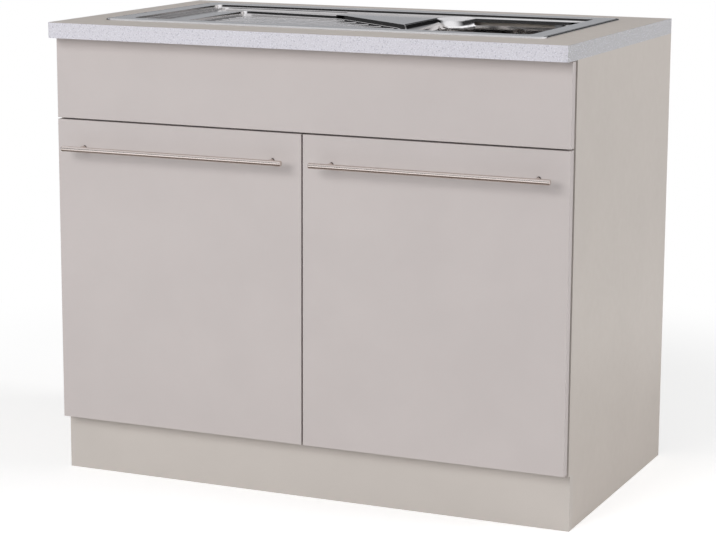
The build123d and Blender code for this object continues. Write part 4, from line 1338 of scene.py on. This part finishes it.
# ---------------------------------------------------------------- studio
@dataclass
class Studio:
    """Pale floor, soft lamps, white surroundings and the camera."""

    floor_radius: float = 2.1
    floor_sides: int = 96
    fade: Span = (0.95, 1.75)
    ground: Colour = (0.86, 0.86, 0.86)
    glow: float = 0.42
    # floor colour that glossy rays see: painted shade, so the handles' undersides reflect dark brown
    reflected_painted_shade: Colour = (0.22, 0.18, 0.155)
    ambient: float = 0.33
    horizon: Span = (0.11, 0.19)
    ceiling: Span = (0.36, 0.48)
    dark_left: Span = (-0.85, -0.6)
    grey_rear: Span = (0.1, 0.7)
    bright_front: Span = (-0.5, -0.2)
    card: Span = (0.5, 0.85)
    bright_right: Span = (0.5, 0.95)
    ahead: float = 1.5
    rear: float = 0.42
    glare: float = 1.2
    tint: Colour = (0.93, 0.95, 1.0)
    dark: float = 0.03
    top: float = 0.95
    focal_pixels: float = 2281.0
    image_width: float = 716.0
    sensor_width: float = 36.0
    sight: Span = (0.05, 60.0)
    yaw: float = 0.4159
    pitch: float = 0.193
    roll: float = -0.0043
    viewpoint: Point = (1.7004, -3.8707, 1.2062)

    def floor(self) -> None:
        """Round pale floor that fades into the white surroundings; glossy rays see it painted dark brown, a
        painted shade in what metal reflects.
        """
        clear_selection()
        bpy.ops.mesh.primitive_circle_add(
            vertices=self.floor_sides, radius=self.floor_radius, fill_type="NGON"
        )
        floor = bpy.context.object
        floor.name = "studio_floor"
        material = bpy.data.materials.new("studio_floor")
        material.use_nodes = True
        nodes = Nodes(material.node_tree)
        rays = nodes.add("ShaderNodeLightPath").outputs
        ground = nodes.add("ShaderNodeBsdfDiffuse")
        # glossy rays get the dark brown painted shade instead of the pale floor colour
        nodes.link(nodes.blend(rays["Is Glossy Ray"], self.ground, self.reflected_painted_shade), ground.inputs["Color"])
        glow = nodes.add("ShaderNodeEmission")
        nodes.link(nodes.maths("MULTIPLY", rays["Is Camera Ray"], self.glow), glow.inputs["Strength"])
        lifted = nodes.add("ShaderNodeAddShader")
        nodes.link(ground.outputs[0], lifted.inputs[0])
        nodes.link(glow.outputs[0], lifted.inputs[1])
        reach = nodes.add("ShaderNodeVectorMath")
        reach.operation = "LENGTH"
        nodes.link(nodes.add("ShaderNodeTexCoord").outputs["Object"], reach.inputs[0])
        edge = nodes.ranged(reach.outputs["Value"], self.fade, WHOLE, smooth=True)
        faded = nodes.layered(edge, lifted.outputs[0], nodes.add("ShaderNodeEmission").outputs[0])
        shown = nodes.layered(self.seen_directly(nodes), ground.outputs[0], faded)
        nodes.link(shown, nodes.add("ShaderNodeOutputMaterial").inputs["Surface"])
        floor.data.materials.append(material)

    @staticmethod
    def seen_directly(nodes: Nodes) -> bpy.types.NodeSocket:
        """One for camera, glossy and transmission rays, else zero.

        Args:
            nodes: Builder of the tree to add to.

        Returns:
            That value.
        """
        rays = nodes.add("ShaderNodeLightPath").outputs
        value = rays["Is Camera Ray"]
        for name in ("Is Glossy Ray", "Is Transmission Ray"):
            value = nodes.maths("MAXIMUM", value, rays[name])
        return value

    def mirrored_room(self, nodes: Nodes) -> bpy.types.NodeSocket:
        """Brightness of the room that metal mirrors, by direction.

        Pale near the horizon and dark just above it, darker at the left and the rear, and bright
        overhead, at the right and high up in front.

        Args:
            nodes: Builder of the tree to add to.

        Returns:
            The brightness.
        """
        parts = nodes.add("ShaderNodeSeparateXYZ")
        nodes.link(nodes.add("ShaderNodeTexCoord").outputs["Generated"], parts.inputs[0])
        x, y, z = (parts.outputs[letter] for letter in "XYZ")
        level = nodes.ranged(z, self.horizon, (1.0, self.dark), smooth=True)
        left = nodes.ranged(x, self.dark_left, (self.dark, 1.0), smooth=True)
        rear = nodes.ranged(y, self.grey_rear, (self.ahead, self.rear), smooth=True)
        low = nodes.maths("MULTIPLY", nodes.maths("MULTIPLY", level, rear), left)
        front = nodes.ranged(y, self.bright_front, (self.glare, 0.0), smooth=True)
        card = nodes.maths("MULTIPLY", front, nodes.ranged(z, self.card, WHOLE, smooth=True))
        high = nodes.ranged(z, self.ceiling, (0.0, self.top), smooth=True)
        sides = nodes.ranged(x, self.bright_right, (0.0, self.glare), smooth=True)
        value = low
        for other in (card, high, sides):
            value = nodes.maths("MAXIMUM", value, other)
        return value

    def surroundings(self) -> None:
        """White room that lights softly and that metal sees with its own pattern of light and dark."""
        world = bpy.data.worlds.new("studio")
        bpy.context.scene.world = world
        world.use_nodes = True
        nodes = Nodes(world.node_tree)
        direct = nodes.add("ShaderNodeLightPath").outputs["Is Camera Ray"]
        soft, seen = (nodes.add("ShaderNodeBackground") for _ in range(2))
        soft.inputs["Color"].default_value = (*WHITE, 1.0)
        soft.inputs["Strength"].default_value = self.ambient
        nodes.link(nodes.blend(direct, self.tint, WHITE), seen.inputs["Color"])
        nodes.link(nodes.maths("MAXIMUM", direct, self.mirrored_room(nodes)), seen.inputs["Strength"])
        shown = nodes.layered(self.seen_directly(nodes), soft.outputs[0], seen.outputs[0])
        nodes.link(shown, nodes.add("ShaderNodeOutputWorld").inputs["Surface"])

    @staticmethod
    def lamp(name: str, place: Point, aim: Point, size: float, power: float) -> None:
        """Square soft lamp.

        Args:
            name: Name of the lamp.
            place: Where it hangs.
            aim: Point that it faces.
            size: Length of its side.
            power: Power in watts.
        """
        data = bpy.data.lights.new(name, "AREA")
        data.size = size
        data.energy = power
        lamp = bpy.data.objects.new(name, data)
        lamp.visible_glossy = False
        bpy.context.scene.collection.objects.link(lamp)
        lamp.location = place
        lamp.rotation_mode = "QUATERNION"
        lamp.rotation_quaternion = (Vector(aim) - Vector(place)).to_track_quat("-Z", "Y")

    def lamps(self) -> None:
        """Key lamp above the front, weak fill at the right."""
        self.lamp("key", place=(-1.9, -6.0, 3.3), aim=(0.0, 0.0, 0.5), size=3.8, power=275.0)
        self.lamp("fill", place=(4.6, 0.9, 2.4), aim=(0.4, 0.1, 0.6), size=2.6, power=112.0)

    def camera(self) -> None:
        """Camera at the photograph's viewing angle, with no shift."""
        level = math.cos(self.pitch)
        cos_yaw, sin_yaw = math.cos(self.yaw), math.sin(self.yaw)
        forward = Vector((-sin_yaw * level, cos_yaw * level, -math.sin(self.pitch)))
        across = Vector((cos_yaw, sin_yaw, 0.0))
        down = forward.cross(across)
        right = math.cos(self.roll) * across + math.sin(self.roll) * down
        below = -math.sin(self.roll) * across + math.cos(self.roll) * down
        data = bpy.data.cameras.new("camera")
        data.sensor_width = self.sensor_width
        data.lens = self.focal_pixels * self.sensor_width / self.image_width
        data.clip_start, data.clip_end = self.sight
        camera = bpy.data.objects.new("camera", data)
        bpy.context.scene.collection.objects.link(camera)
        turn = Matrix((right, -below, -forward)).transposed().to_4x4()
        camera.matrix_world = Matrix.Translation(self.viewpoint) @ turn
        bpy.context.scene.camera = camera

    def build(self) -> None:
        """Set up the whole studio."""
        self.floor()
        self.surroundings()
        self.lamps()
        self.camera()
        bpy.context.scene.view_settings.view_transform = "Standard"
        log.info("studio: floor, surroundings, lamps and camera")


def main() -> None:
    """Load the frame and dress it."""
    logging.basicConfig(level=logging.INFO, format="%(message)s")
    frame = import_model()
    materials = {name: finish.build() for name, finish in FINISHES.items()}
    Studio().build()
    Cabinet(frame, materials).dress_nodes()
    PressedSink(materials).build()
    for side in ("left", "right"):
        handle = BarHandle(side, materials)
        handle.build_bar()
        handle.build_posts()


if __name__ == "__main__":
    main()
